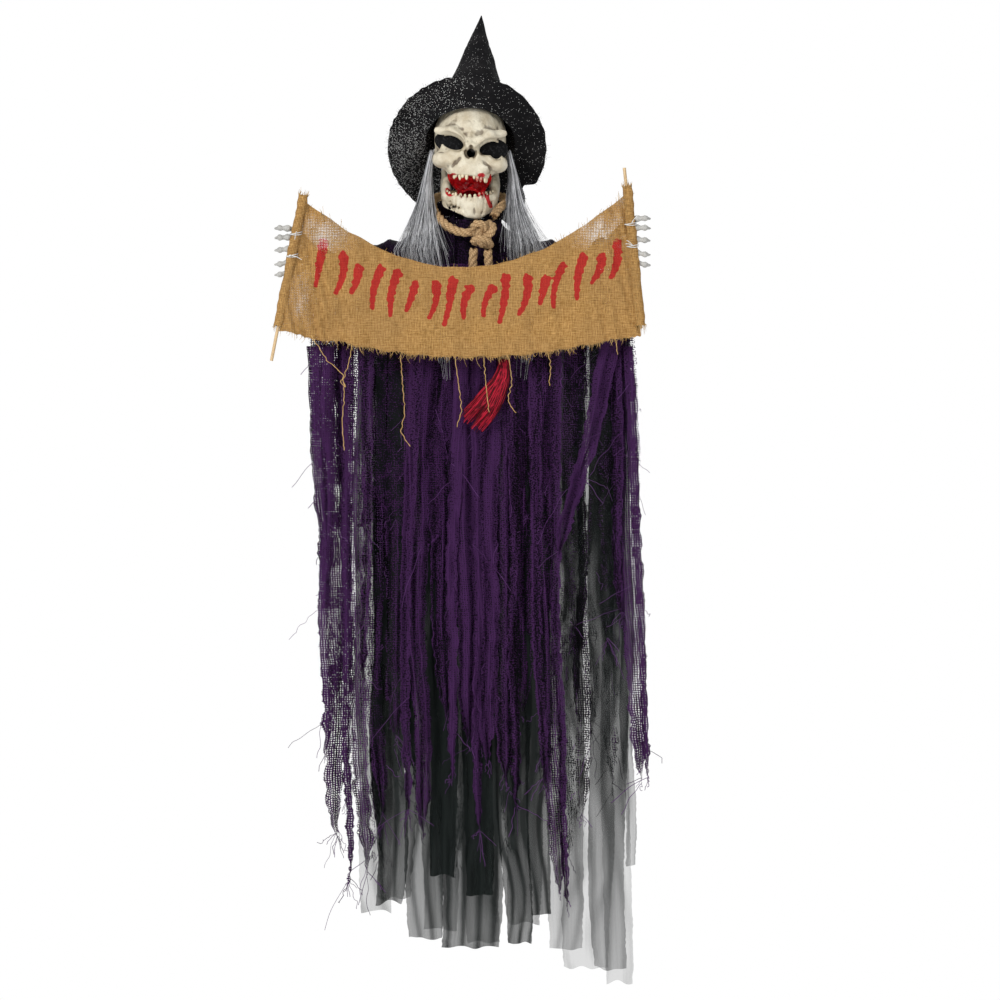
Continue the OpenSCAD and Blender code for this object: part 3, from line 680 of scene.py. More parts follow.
ROPE_D = 14.0
LOOP_ROUTE = [(14, -101, -1), (0, -106, -4), (-16, -104, -3), (-34, -96, 6), (-50, -80, 22), (-58, -60, 38),
    (-58, -38, 50), (-50, -14, 58), (-30, 4, 62), (0, 10, 63), (30, 4, 62), (50, -14, 58), (58, -36, 52),
    (56, -58, 46), (49, -78, 38), (42, -94, 30), (38, -104, 22)]
TAIL_ROUTE = [(28, -108, -32), (29, -108, -48), (30, -107, -70), (33, -106, -95), (38, -105, -120),
    (44, -104, -145), (50, -103, -170), (54, -103, -195), (53, -104, -215), (48, -105, -235)]
SHORT_ROUTE = [(6, -108, -30), (5, -108, -45), (5, -107, -62), (7, -106, -80), (10, -105, -98),
    (14, -104, -115)]


def laid_rope(build, line, diameter, pitch=None, fuzz=0):
    """Three strands twisted round the line, with loose fibres."""
    side, up = frames_along(line)
    run = np.concatenate([[0], np.cumsum(np.linalg.norm(np.diff(line, axis=0), axis=1))])
    turn = 2 * math.pi * run / (pitch or 2.4 * diameter)
    sides = 9
    for strand in range(3):
        a = turn + strand * 2 * math.pi / 3
        centre = line + diameter * 0.235 * (np.cos(a)[:, None] * side + np.sin(a)[:, None] * up)
        first = build.count
        build.tube(centre, diameter * 0.272, sides)
        around = np.tile(np.arange(sides) * 2 * math.pi / sides, len(line))
        lay = np.stack([np.repeat(run, sides) * MM, around / 3 + np.repeat(turn, sides), around * 0], axis=1)
        points = build.points[-1]
        off = np.linalg.norm(points - np.repeat(line, sides, axis=0), axis=1)
        build.extra.setdefault("lay", []).append((first, lay))
        # Painted shade, 1 on the side of each strand that faces the rope's middle, where the strands meet.
        build.extra.setdefault("crease", []).append((first, 1 - smooth(0.2, 0.42, off / diameter)))
    for _ in range(fuzz):
        i = rng.integers(1, len(line) - 1)
        a = rng.uniform(0, 6.28)
        out = math.cos(a) * side[i] + math.sin(a) * up[i]
        along = (line[i + 1] - line[i - 1]) * rng.choice([-1, 1])
        along /= np.linalg.norm(along)
        start = line[i] + out * diameter * 0.46
        tip = start + out * rng.uniform(0.5, 2.4) + along * rng.uniform(3, 8)
        build.tube(np.array([start, mix(start, tip, 0.5) + out * 0.6, tip]), [0.22, 0.18, 0.08], 3,
            crease=0.0)


def make_rope():
    loop, tail, short = (even(r, 3.0) for r in (LOOP_ROUTE, TAIL_ROUTE, SHORT_ROUTE))
    pieces = []
    for name, line, node, fuzz in (
        ("noose_loop", loop, "rope_loop", 160), ("noose_tail", tail, "rope_tail", 60),
        ("noose_end", short, "rope_tail_short", 40),
    ):
        build = Build()
        laid_rope(build, line, ROPE_D, fuzz=fuzz)
        ob = build.piece(name, ROOT, "jute_rope", [JUTE])
        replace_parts(ob, node)
        pieces.append(ob)
    knot = Build()
    t = np.linspace(0, 2 * math.pi, 150)
    turns = np.stack([np.sin(t) + 2 * np.sin(2 * t), -1.15 * np.sin(3 * t), np.cos(t) - 2 * np.cos(2 * t)],
        axis=1)
    centre = sum(node_box("rope_knot")) / 2
    laid_rope(knot, centre + turns * vec(5.6, 6.5, 6.4) + vec(1, 0, 2), 12.0, pitch=30, fuzz=110)
    wrap = even([(10, -104, -20), (6, -120, -18), (14, -128, -14), (26, -126, -18), (32, -112, -24),
        (22, -100, -24)], 3.0)
    laid_rope(knot, wrap, 11.5, fuzz=20)
    knot = knot.piece("noose_knot", ROOT, "jute_rope", [JUTE])
    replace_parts(knot, "rope_knot")
    fray = make_fray()
    exits = [LOOP_ROUTE[0], TAIL_ROUTE[0], SHORT_ROUTE[0]]
    for ob, line, at, end, others in zip(pieces, (loop, tail, short), exits, ("object", "bare", "bare"),
                                         ([knot], [fray], [])):
        round(length_of(line) * MM, 3)


def make_fray():
    """The red end: rope strands that open out into fibres, swept down to the left."""
    build = Build()
    spine = spline([(53, -104, -203), (52, -106, -222), (42, -110, -248), (22, -112, -280),
        (-2, -112, -310)], 44)
    side, up = frames_along(spine)
    t = np.linspace(0, 1, 44)
    grow = mix(8.2, 25, smooth(0.1, 0.85, t))

    def around(reach, turn):
        wide, deep = reach * grow * np.cos(turn), reach * mix(8.2, 7.5, t) * np.sin(turn)
        return wide[:, None] * side + deep[:, None] * up

    for _ in range(300):
        a, reach = rng.uniform(0, 6.28), math.sqrt(rng.uniform(0.1, 1))
        turn = a + rng.normal(0, 0.35) * t
        line = spine + around(reach, turn)
        wiggle = waves(np.stack([t * 60, t * 0 + rng.uniform(0, 99)], axis=1), 22, 5)
        line += wiggle[:, None] * vec(2.2, 1.0, 0.8)
        last = int(rng.uniform(26, 44))
        line = line[:last:2]
        build.tube(line, np.linspace(1.05, 0.45, len(line)), 4,
            tone=rng.choice([rng.uniform(-0.35, 0.1), rng.uniform(0.3, 1.0)]))
    for strand in range(9):
        a = strand * 2 * math.pi / 9
        turn = a + 2.6 * t
        line = spine + around(0.72, turn)
        build.tube(line[:36], np.linspace(3.2, 1.6, 36), 7,
            tone=0.1 + 0.3 * np.sin(np.arange(36) * 1.3 + strand))
    fray = build.piece("noose_fray", ROOT, "red_rope", [RED_FIBRE])
    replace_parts(fray, "rope_fray")
    return fray


make_rope()

# ---------------------------------------------------------------- banner and the pockets round its dowels

BANNER_HALF = 262.0
BANNER_LEFT, BANNER_RIGHT = -252.0, 240.0


def banner_y(x):
    return -142 - 22 * (np.abs(x) / BANNER_HALF) ** 2


def banner_top(x):
    return -60 + 122 * (np.abs(x + 12) / 260) ** 2


def banner_bottom(x):
    return -200 + 46 * (np.abs(x) / 280) ** 2


def brush_marks(x, z):
    """Generic slashes of a broad dry brush, side by side along the banner, that spell nothing."""
    nearest = np.full(x.shape, 99.0)
    for k in range(17):
        cx = -232 + 28.6 * k + 3 * math.sin(2.3 * k)
        cz = float(banner_top(vec(cx))[0] + banner_bottom(vec(cx))[0]) / 2 + 14
        reach = 29 + 9 * math.sin(1.9 * k + 1)
        lean = 13 + 5 * math.sin(3.1 * k)
        run = vec(-lean, -2 * reach) * 0.9
        p = stack(x - cx, z - cz) + run / 2
        t = np.clip(p @ run / (run @ run), 0, 1)
        normal = vec(-run[1], run[0]) / np.linalg.norm(run)
        bow = 5 * math.sin(1.3 * k)
        off = p - t[..., None] * run - (bow * 4 * t * (1 - t))[..., None] * normal
        wide = 7.4 * (1 - 0.55 * t) * (1 + 0.25 * waves(stack(x, z), 14, 9, 4))
        nearest = np.minimum(nearest, np.linalg.norm(off, axis=-1) - wide)
    return 1 - smooth(-2.0, 2.5, nearest)


def make_banner():
    cols, rows = 300, 100
    u = column_share(rows, cols)
    v = row_share(rows, cols)
    x = mix(BANNER_LEFT, BANNER_RIGHT, u)
    top = banner_top(x) + 1.5 * waves(x[..., None], 55, 2)
    low = banner_bottom(x) + 2.0 * waves(x[..., None], 35, 3) + 1.2 * waves(x[..., None], 9, 4)
    low = low + 5.0 * bump_at(x, -245, 10)
    z = mix(top, low, v)
    x = x + mix(-6, -42, v) * smooth(-190, -252, x) + mix(4, 25, v) * smooth(185, 240, x)
    across = stack(x / 60 + 0.3 * v, z / 95)
    ease = smooth(0, 0.06, u) * smooth(1, 0.94, u)
    swag = 6.0 * waves(across, 1.0, 6) * ease + 1.6 * waves(stack(x, z * 0.6), 26, 7) * ease
    gathers = 3.6 * waves(stack(x / 11 + z / 60, z / 160), 1.0, 8)
    side = np.maximum(smooth(-165, -240, x), smooth(160, 235, x))
    y = banner_y(x) + swag + gathers * side
    y = y + 2.5 * np.exp(-v / 0.035) * ease
    thin = sum(
        much * bump_at(x, cx, wide) * bump_at(z, cz, tall)
        for much, cx, wide, cz, tall in (
            (0.95, -222, 34, -12, 26), (0.95, 200, 36, -10, 26), (0.5, -258, 20, -105, 38),
            (0.5, 206, 18, -95, 40), (0.55, 232, 14, 44, 12),
        )
    )
    thin = np.clip(thin + 0.34 * np.clip(waves(across, 0.45, 12), 0, 1), 0, 1)
    flat = stack(x, z, 0 * x) * MM
    paint = brush_marks(x, z)
    cloth = Build()
    cloth.grid(stack(x, y, z), flat=flat.reshape(-1, 3), thin=thin, paint=paint)
    cloth = cloth.piece("banner_cloth", ROOT, "burlap", [BURLAP])
    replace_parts(cloth, "banner")

    fringe = Build()
    edge = stack(x[-1], y[-1], z[-1])
    top_edge = stack(x[0], y[0], z[0])
    for line, count, down, long in ((edge, 760, -1, 4.6), (top_edge, 170, 1, 3.0)):
        for _ in range(count):
            p = line[rng.integers(6, cols - 6)] + vec(rng.normal(0, 0.8), rng.normal(0, 0.6), -down * 2)
            reach = rng.gamma(2.0, long / 2.0)
            drift = rng.normal(0, 0.35) * reach
            pts = [
                p, p + vec(drift * 0.4, rng.normal(0, 1), down * reach * 0.6),
                p + vec(drift, rng.normal(0, 1.4), down * reach),
            ]
            fringe.tube(np.array(pts), [0.42, 0.36, 0.2], 3, tone=rng.uniform(0.1, 0.9))
    for cx, cz, sx, sz, count in (
        (-222, -12, 30, 20, 60), (202, -8, 32, 20, 60), (-256, -100, 16, 30, 45), (232, 44, 8, 9, 26),
    ):
        for _ in range(count):
            px, pz = rng.normal(cx, sx * 0.6), rng.normal(cz, sz * 0.6)
            if not (banner_bottom(px) + 4 < pz < banner_top(px) - 3) or abs(px) > 262:
                continue
            run = vec(rng.uniform(6, 16), 0, rng.normal(0, 3))
            if rng.uniform() < 0.45:
                run = vec(rng.normal(0, 2.5), 0, rng.uniform(6, 16))
            base = vec(px, float(banner_y(vec(px))[0]) - 4.5, pz)
            fringe.tube(np.array([base, base + run * 0.5 + vec(0, -2.5, rng.normal(0, 1.5)), base + run]),
                0.3, 3, tone=rng.uniform(0.2, 0.9))
    threads = [
        [(-246, -166), (-236, -180), (-220, -205), (-205, -218),
         (-196, -230), (-194, -262), (-197, -300), (-194, -344)],
        [(-182, -180), (-186, -205), (-194, -230), (-199, -238), (-192, -246), (-197, -232)],
        [(-107, -196), (-104, -240), (-101, -285), (-106, -312), (-101, -325), (-92, -338)],
        [(-23, -200), (-18, -236), (-13, -280), (-18, -300), (-20, -308)],
        [(22, -200), (25, -240), (30, -285)],
        [(60, -196), (65, -238), (60, -262), (65, -278), (73, -286)],
        [(118, -182), (125, -212), (123, -244)],
        [(222, -158), (227, -180), (228, -196)],
    ]
    for route in threads:
        pts = np.array([
            (a, float(banner_y(vec(a))[0]) - 2 - 3 * math.sin(i * 1.7), b) for i, (a, b) in enumerate(route)
        ])
        line = spline(pts, 10 * len(pts))
        line += vec(1, 0.6, 0) * (1.3 * waves(line[:, 2:], 13, int(abs(route[0][0]))))[:, None]
        fringe.tube(line, 0.62, 5, tone=0.5 + 0.2 * np.sin(np.arange(len(line)) * 0.9))
    fringe = fringe.piece("banner_fringe", ROOT, "burlap", [JUTE_FIBRE])
    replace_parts(fringe, "banner")
    wide, tall = length_of(edge) * MM, float(np.abs(z[0] - z[-1]).mean()) * MM


# The middle line of each pocket, from its foot to its head
POCKETS = {
    "left": (vec(-295.5, -165, -152), vec(-256.6, -165, 50)),
    "right": (vec(264.3, -165, -151), vec(243.3, -165, 64)),
}
WRISTS = {"left": vec(-228, -128, -42), "right": vec(206, -128, -24)}


def make_pockets():
    """The banner's two ends, rolled round the dowels and stitched, with frayed mouths."""
    for side, (foot, head) in POCKETS.items():
        roll = Build()
        cols, rows = 26, 110
        axis = (head - foot) / np.linalg.norm(head - foot)
        lateral = np.cross(axis, vec(0, 1, 0))
        a = np.linspace(0, 2 * math.pi, cols)[None, :] + np.zeros((rows, 1))
        t = row_share(rows, cols)
        run = stack(np.cos(a), np.sin(a), t * 9)
        r = 7.4 + 0.9 * waves(run, 2.2, 21) + 0.7 * waves(run * vec(1, 1, 4), 2.0, 22)
        r = r - 1.2 * bump_at(np.cos(a - math.pi / 2), 1, 0.3)
        squash = 0.82
        centre = mix(foot, head, t[..., None])
        points = centre + (r * np.cos(a))[..., None] * lateral
        points = points + (r * squash * np.sin(a))[..., None] * vec(0, 1, 0)
        ragged = np.where((t == 0) | (t == 1), 2.2 * waves(run * 3, 1.0, 23), 0)
        points += ragged[..., None] * axis
        length = np.linalg.norm(head - foot)
        flat = stack(a * 7.5, t * length, 0 * a) * MM
        roll.grid(points, flat=flat.reshape(-1, 3), thin=0.18 * np.ones(a.shape), paint=0 * a)
        roll = roll.piece(f"pocket_roll_{side}", ROOT, "burlap", [BURLAP])
        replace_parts(roll, f"banner_pocket_{side}")
        trim = Build()
        for end, way in ((foot, -1), (head, 1)):
            for _ in range(46):
                ang = rng.uniform(0, 6.28)
                p = end + 7.0 * math.cos(ang) * lateral + vec(0, 5.8 * math.sin(ang), 0) - axis * way * 1.5
                q = p + axis * way * rng.gamma(2, 2.2) + rng.normal(0, 1.3, 3)
                trim.tube(np.array([p, mix(p, q, 0.5) + rng.normal(0, 0.4, 3), q]), [0.4, 0.35, 0.2], 3,
                    tone=rng.uniform(0, 0.9))
        for k in range(24):
            inward = -4.5 if side == "left" else 4.5
            p = mix(foot, head, (k + 0.5) / 24) + vec(0, -6.7, 0) + lateral * inward
            trim.tube(np.array([p, p + axis * 2.2 + vec(0, -0.5, 0), p + axis * 4.4]), 0.5, 5, tone=0.25)
        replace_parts(trim.piece(f"pocket_trim_{side}", ROOT, "burlap", [JUTE_FIBRE]), f"banner_pocket_{side}")


make_banner()
make_pockets()

# ---------------------------------------------------------------- gown, robe and shoulder cloth


def gown_front_y(x):
    return -86 - 34 * (np.abs(x) / 255) ** 3 + 5 * np.sin(np.radians(5.1 * x))


def gown_back_y(x):
    return -3 - 26 * (np.abs(x) / 255) ** 2 + 4 * np.sin(np.radians(4.7 * x))


def robe_front_y(x):
    return -71 + 2.5 * np.sin(np.radians(7.3 * x))


def robe_back_y(x):
    return gown_back_y(x) - 11


THREAD_LIMITS = (-294, 298)


class Cloth:
    """Hanging cloth made of overlapping torn strips that share one sheet."""

    def __init__(self, surface_y, seed):
        self.surface_y, self.build = surface_y, Build()
        self.flat_x = self.across = self.cut = self.longest = 0.0
        self.rng = np.random.default_rng(seed)
        self.edges = []

    def strip(
        self, centres, widths, top, bottom, tone=0.5, open_top=0.0, open_low=0.0,
        fold=6.0, ragged=6.0, out=0.0, pleats=None, taper_to=0.18, torn=1.0,
    ):
        """One strip. centres and widths run from its top to its bottom."""
        own = self.rng
        seed = int(own.integers(1, 9999))
        rows = max(20, int((top - bottom) / 5.0))
        cols = max(12, int(max(widths) / 3.2))
        t = row_share(rows, cols)
        u = span_grid(rows, cols)
        key = np.linspace(0, 1, len(centres))
        centre = np.interp(t, key, centres)
        wide = np.interp(t, np.linspace(0, 1, len(widths)), widths)
        z = mix(top, bottom, t)
        rip = z[:, :1, None]
        left = ragged * (waves(rip, 55, seed) + 0.7 * waves(rip, 15, seed + 1))
        right = ragged * (waves(rip, 50, seed + 2) + 0.7 * waves(rip, 13, seed + 3))
        taper = 1 - (1 - taper_to) * smooth(0.93, 1.0, t)
        half = wide / 2 * taper
        sway = 7.0 * waves(z[:, :1, None], 420, seed + 4) * t
        x = centre + u * half + np.where(u < 0, -left * (-u), right * u) * (0.25 + 0.75 * t) + sway
        place = (u * wide / 2)[..., None]
        hem = torn * 10 * waves(place, 16, seed + 5) + (4 + 10 * torn) * waves(place, 45, seed + 8)
        z = z + hem * smooth(0.86, 1.0, t)
        n = pleats if pleats is not None else max(1.0, max(widths) / 34)
        phase = own.uniform(0, 6.28)
        wander = 1.5 * waves(z[..., None], 300, seed + 6)
        wave = np.sin(u * math.pi * n + phase + wander)
        wave = wave + 0.45 * np.sin(u * math.pi * n * 2.3 + phase * 2 - wander * 1.4)
        y = self.surface_y(x) + out + fold * (0.35 + 0.65 * smooth(0, 0.25, t)) * wave
        y += 2.2 * waves(stack(x, z * 0.35), 30, seed + 7)
        flat_u = self.flat_x + (u + 1) * wide / 2
        flat = stack(flat_u, -t * (top - bottom) * 1.02, 0 * t) * MM
        rim = np.maximum(np.abs(u) ** 3, smooth(0.955, 1.0, t))
        gaps = 0.5 * bump_at(x, -130, 46) * bump_at(z, -290, 110)
        gaps = gaps + 0.5 * bump_at(x, 190, 40) * bump_at(z, -330, 150)
        patchy = np.clip(waves(stack(x, z * 0.3), 48, seed + 9), 0, 1)
        opened = mix(open_top, open_low, t) + gaps * open_top * 1.2 + 0.30 * patchy * (open_top + 0.1)
        # Painted shade in the folds: lighter where a fold comes forward, darker where it falls back.
        fold_shade = 0.5 - 0.5 * wave / 1.45
        slope = np.abs(np.cos(u * math.pi * n + phase + wander))
        points = stack(x, y, z)
        self.build.grid(points, flat=flat.reshape(-1, 3), edge=rim, open=opened,
            tone=tone + 0.4 * (fold_shade - 0.5), fold=slope)
        spread = np.linalg.norm(np.diff(points, axis=1), axis=2).sum(axis=1)
        self.flat_x += max(widths) + 3
        self.across += float(spread.max())
        self.cut += float(spread.mean()) * (top - bottom) * 1.03
        self.longest = max(self.longest, (top - bottom) * 1.04)
        self.edges += [points[:, 0], points[:, -1], points[-1]]
        return points

    def strings(self, name, count, slot, material, reach=26, low=-9999, curly=1.0, radius=0.5):
        """Loose threads that leave the torn edges and curl down."""
        own = self.rng
        strings = Build()
        for _ in range(count):
            edge = self.edges[own.integers(0, len(self.edges))]
            p = edge[own.integers(2, len(edge) - 1)] if own.uniform() < 0.8 else edge[-1]
            if p[2] > -175:
                continue
            n = 22
            long = own.gamma(2.2, reach / 2)
            out = own.normal(0, 0.55)
            s = np.linspace(0, 1, n)
            forward = own.normal(0, 0.2) * long * s - 1.0
            down = -long * s ** 1.2 * own.uniform(0.5, 1.1)
            line = p + stack(out * long * s, forward, down)
            turns = own.uniform(0.5, 3.0) * curly
            size = own.uniform(0.5, 3.2) * curly
            ang = s * 6.28 * turns + own.uniform(0, 6)
            line += stack(size * np.sin(ang) * s, size * np.cos(ang) * s, 0.8 * size * np.sin(ang * 1.4) * s)
            line[:, 0] = np.clip(line[:, 0], *THREAD_LIMITS)
            line[:, 2] = np.maximum(line[:, 2], low)
            strings.tube(line, own.uniform(0.7, 1.2) * radius, 3, tone=own.uniform(0.1, 0.9))
        return strings.piece(name, ROOT, slot, [material])


def make_gown():
    front = Cloth(gown_front_y, 41)
    top = -52.0
    # Middle line and widths from top to hem, hem, tone, openness at top and hem, how far forward
    wide = [
        ((-226, -222, -212, -206), (56, 50, 38, 26), -730, 0.62, 0.26, 0.30, -2),
        ((-198, -205, -212, -205), (60, 44, 32, 26), -944, 0.55, 0.34, 0.16, 0),
        ((-166, -178, -176, -164), (60, 36, 28, 22), -998, 0.62, 0.42, 0.10, -5),
        ((-130, -146, -150, -140), (64, 42, 28, 22), -913, 0.45, 0.46, 0.30, 1),
        ((-96, -112, -118, -118), (62, 46, 32, 24), -800, 0.5, 0.44, 0.36, -3),
        ((-60, -84, -82, -70), (64, 44, 30, 22), -944, 0.6, 0.30, 0.12, -6),
        ((-26, -46, -46, -40), (60, 48, 34, 20), -760, 0.5, 0.22, 0.25, 0),
        ((2, -8, -6, 2), (58, 52, 42, 24), -800, 0.7, 0.10, 0.10, -6),
        ((28, 24, 26, 31), (56, 48, 36, 26), -827, 0.66, 0.10, 0.10, -9),
        ((54, 52, 52, 55), (58, 44, 36, 24), -866, 0.5, 0.22, 0.18, -2),
        ((86, 88, 84, 80), (60, 44, 32, 22), -760, 0.45, 0.36, 0.34, 2),
        ((118, 116, 124, 140), (58, 42, 32, 24), -1037, 0.5, 0.38, 0.16, -4),
        ((150, 148, 146, 150), (60, 44, 32, 24), -680, 0.3, 0.50, 0.5, 2),
        ((180, 174, 173, 179), (58, 42, 30, 24), -913, 0.1, 0.46, 0.32, -2),
        ((208, 210, 210, 212), (54, 44, 32, 24), -640, 0.2, 0.48, 0.5, 2),
        ((230, 242, 252, 264), (46, 40, 32, 24), -850, 0.66, 0.26, 0.14, -3),
    ]
    for centres, widths, bottom, tone, open_top, open_low, out in wide:
        front.strip(centres, widths, top, bottom, tone, open_top, open_low, fold=4.5, out=out, ragged=3.0)
    for centres, width, bottom, out in (
        ((-206, -196, -184), 84, -470, -3), ((-140, -134, -128), 112, -440, -4),
        ((-62, -68, -76), 84, -500, -3), ((20, 24, 28), 90, -520, -3), ((96, 92, 88), 88, -450, -4),
        ((164, 158, 150), 80, -420, -5), ((216, 220, 224), 64, -400, -4),
    ):
        widths = (width, width, width * 0.8)
        front.strip(centres, widths, top, bottom, 0.4, 0.3, 0.44, fold=2.5, out=out, ragged=7.0, pleats=1.2)
    narrow = [
        ((-243, -236, -226), (20, 18, 12), -560, 0.6), ((-222, -222, -228), (22, 18, 12), -820, 0.7),
        ((-190, -192, -190), (20, 16, 10), -1010, 0.6), ((-158, -162, -160), (20, 15, 10), -700, 0.5),
        ((-82, -100, -98), (22, 17, 12), -905, 0.62), ((-12, -28, -26), (22, 18, 12), -850, 0.75),
        ((14, 12, 16), (22, 17, 12), -940, 0.6), ((66, 70, 68), (20, 16, 12), -905, 0.4),
        ((100, 104, 112), (22, 18, 12), -860, 0.5), ((134, 134, 152), (18, 15, 10), -1055, 0.55),
        ((226, 230, 236), (20, 16, 11), -600, 0.5), ((246, 262, 276), (15, 13, 9), -860, 0.7),
    ]
    for centres, widths, bottom, tone in narrow:
        front.strip(centres, widths, top - 130, bottom, tone, 0.0, 0.05, fold=3.0, ragged=3.0, out=-11,
            pleats=0.8)
    slanted, narrowing = (222, 203, 186, 164, 142), (34, 30, 26, 24, 18)
    front.strip(slanted, narrowing, -160, -500, 0.72, 0.0, 0.1, fold=5, ragged=4, out=-17, pleats=1.5)
    cloth = front.build.piece("gown_front", ROOT, "purple_cloth", [PURPLE])
    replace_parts(cloth, "cape_front")
    threads = front.strings("gown_front_threads", 420, "purple_cloth", PURPLE_FIBRE)
    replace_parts(threads, "cape_front")

    back = Cloth(gown_back_y, 43)
    drops = (-800, -900, -980, -860, -930, -780, -1000, -880, -960, -820, -905, -985, -790, -870)
    for i, drop in enumerate(drops):
        x = mix(-228, 236, i / 13)
        centres, tone = (x, x * 0.97 - 3, x * 0.93, x * 0.95), 0.45 + 0.15 * math.sin(i * 2.1)
        back.strip(centres, (46, 34, 30, 22), -52.0, drop, tone, 0.55, 0.4, fold=5.5, ragged=5.0,
            out=1.5 * (-1) ** i)
    for i in range(9):
        x = mix(-210, 220, i / 8) + 9
        centres, drop = (x, x, x * 0.97), -640 - 110 * (i * 7 % 4)
        back.strip(centres, (20, 17, 11), -56, drop, 0.65, 0, 0.05, fold=3, ragged=3, out=9, pleats=0.8)
    cloth = back.build.piece("gown_back", ROOT, "purple_cloth", [PURPLE])
    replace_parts(cloth, "cape_back")
    threads = back.strings("gown_back_threads", 200, "purple_cloth", PURPLE_FIBRE)
    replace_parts(threads, "cape_back")


def make_robe():
    front = Cloth(robe_front_y, 51)
    for centres, widths, bottom, pleats, thin_top, thin_low in (
        ((-150, -157, -152, -146), (44, 50, 54, 50), -1066, 0.7, 0.2, 0.95),
        ((-112, -118, -124, -128), (62, 64, 60, 44), -1052, 1.1, -0.5, 0.55),
        ((-64, -70, -72, -70), (66, 68, 70, 56), -1108, 1.3, -0.3, 0.6),
        ((-10, -6, -4, 0), (88, 92, 96, 94), HEM_Z + 62, 1.9, -0.6, 0.5),
        ((20, 18, 14, 12), (40, 44, 48, 44), -1040, 1.2, -0.6, 0.1),
        ((-34, -36, -40, -42), (40, 44, 44, 40), -1010, 1.1, -0.6, 0.1),
        ((60, 62, 66, 74), (62, 62, 56, 40), -1116, 1.2, -0.6, 0.5),
        ((104, 102, 104, 112), (48, 48, 42, 32), -1070, 0.9, -0.4, 0.5),
        ((186, 184, 184, 184), (76, 78, 80, 74), HEM_Z + 30, 0.7, 0.2, 1.15),
        ((222, 222, 228, 234), (42, 44, 44, 44), HEM_Z + 6, 0.6, 0.3, 1.15),
        ((238, 240, 246, 250), (22, 22, 20, 16), -992, 0.6, 0.0, 0.9),
    ):
        front.strip(
            centres, widths, -60, bottom, 0.5, thin_top, thin_low,
            fold=5.5, ragged=1.2, pleats=pleats, taper_to=0.95, torn=0.0,
        )
    cloth = front.build.piece("robe_front_veil", ROOT, "sheer_black", [BLACK_VOILE])
    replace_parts(cloth, "robe_front")
    back = Cloth(robe_back_y, 53)
    for i, drop in enumerate((-1050, -1100, -1120, -1090, -1130, -1160)):
        x = mix(-118, 216, i / 5)
        back.strip(
            (x, x, x, x + 3), (56, 58, 60, 54), -60, drop, 0.5, -0.1, 0.9,
            fold=4.0, ragged=1.2, pleats=1.0, taper_to=0.95, torn=0.0,
        )
    cloth = back.build.piece("robe_back_veil", ROOT, "sheer_black", [BLACK_VOILE])
    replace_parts(cloth, "robe_back")


def make_shoulders():
    """Dark cloth over the bar that joins the gown's front and back, and the collar round the neck."""
    drape = Build()
    for side in (-1, 1):
        cols, rows = 64, 54
        u = column_share(rows, cols)
        v = row_share(rows, cols)
        x = mix(24, 238, u)
        crown = 30 * (1 - smooth(22, 78, x)) - 2.0 - 34 * smooth(40, 232, x) ** 1.2
        crown = crown + 2.4 * waves(stack(x), 40, 61)
        a = (v * 2 - 1) * math.pi / 2
        depth_front, depth_back = gown_front_y(side * x), gown_back_y(side * x)
        y = mix(depth_front, depth_back, 0.5 + 0.5 * np.sin(a))
        fall = 1 - np.cos(a)
        z = crown - fall * (54 + crown) * 1.02
        wrinkle = 2.6 * waves(stack(x / 34, y / 60, z / 40), 1.0, 62)
        wrinkle = wrinkle + 1.4 * waves(stack(x / 12, y / 50), 1.0, 63)
        z = z + wrinkle * 0.8
        y = y - 0.7 * wrinkle * np.cos(a)
        flat = stack(u * 210, v * 175, 0 * u) * MM
        points = stack(side * x, y, z)
        # Painted shade: lighter where a wrinkle rises, darker in its dips.
        tone = 0.35 + 0.2 * wrinkle / 3
        drape.grid(points, flat=flat.reshape(-1, 3), edge=0 * u, open=0 * u, tone=tone, fold=0 * u)
    drape = drape.piece("shoulder_drape", ROOT, "purple_cloth", [PURPLE_CLOTH])
    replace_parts(drape, "cape_front", "cape_back")

    lo, hi = node_box("neck_wrap")
    collar = Build()
    cols, rows = 110, 46
    a = angle_grid(rows, cols)
    t = row_share(rows, cols)
    ring = stack(np.cos(a) * 2, np.sin(a) * 2, t * 2.2)
    fold = 1.8 * waves(ring, 1.4, 65) + 1.0 * waves(ring * vec(1, 1, 4), 1.0, 66)
    behind = 0.5 + 0.5 * np.sin(a)
    z = mix(mix(17, 46, smooth(0.28, 0.62, behind)), lo[2] - 34, t) + 2.5 * waves(ring, 2.0, 67)
    flare = 1.24 + 0.2 * smooth(0.35, 1, t)
    rx, ry = (hi[0] - lo[0]) / 2, (hi[1] - lo[1]) / 2
    x = (rx * flare - 1.2 + fold) * np.cos(a)
    y = (lo[1] + hi[1]) / 2 + (ry * 1.03 - 1.2 + fold) * np.sin(a)
    flat = stack(a * 40, t * 66, 0 * a) * MM
    # Painted shade: lighter where the folds bulge out, darker between them.
    collar.grid(stack(x, y, z), wrap=True, flat=flat.reshape(-1, 3), edge=0 * a, open=0 * a,
                tone=0.35 + 0.12 * fold, fold=0 * a)
    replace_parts(collar.piece("collar", ROOT, "purple_cloth", [PURPLE_CLOTH]), "neck_wrap")
    chest = Build()
    cols, rows = 60, 40
    u = span_grid(rows, cols)
    v = row_share(rows, cols)
    x = u * mix(36, 84, v)
    z = mix(6, -64, v)
    y = -76 - 10 * v + 14 * np.abs(u) ** 2.5 + 2.4 * waves(stack(x / 22, z / 30), 1.0, 68)
    flat = stack(x, z, 0 * x) * MM
    chest.grid(stack(x, y, z), flat=flat.reshape(-1, 3), edge=0 * u, open=0 * u, tone=0.4 + 0 * u, fold=0 * u)
    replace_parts(chest.piece("bodice", ROOT, "purple_cloth", [PURPLE_CLOTH]), "neck_wrap")


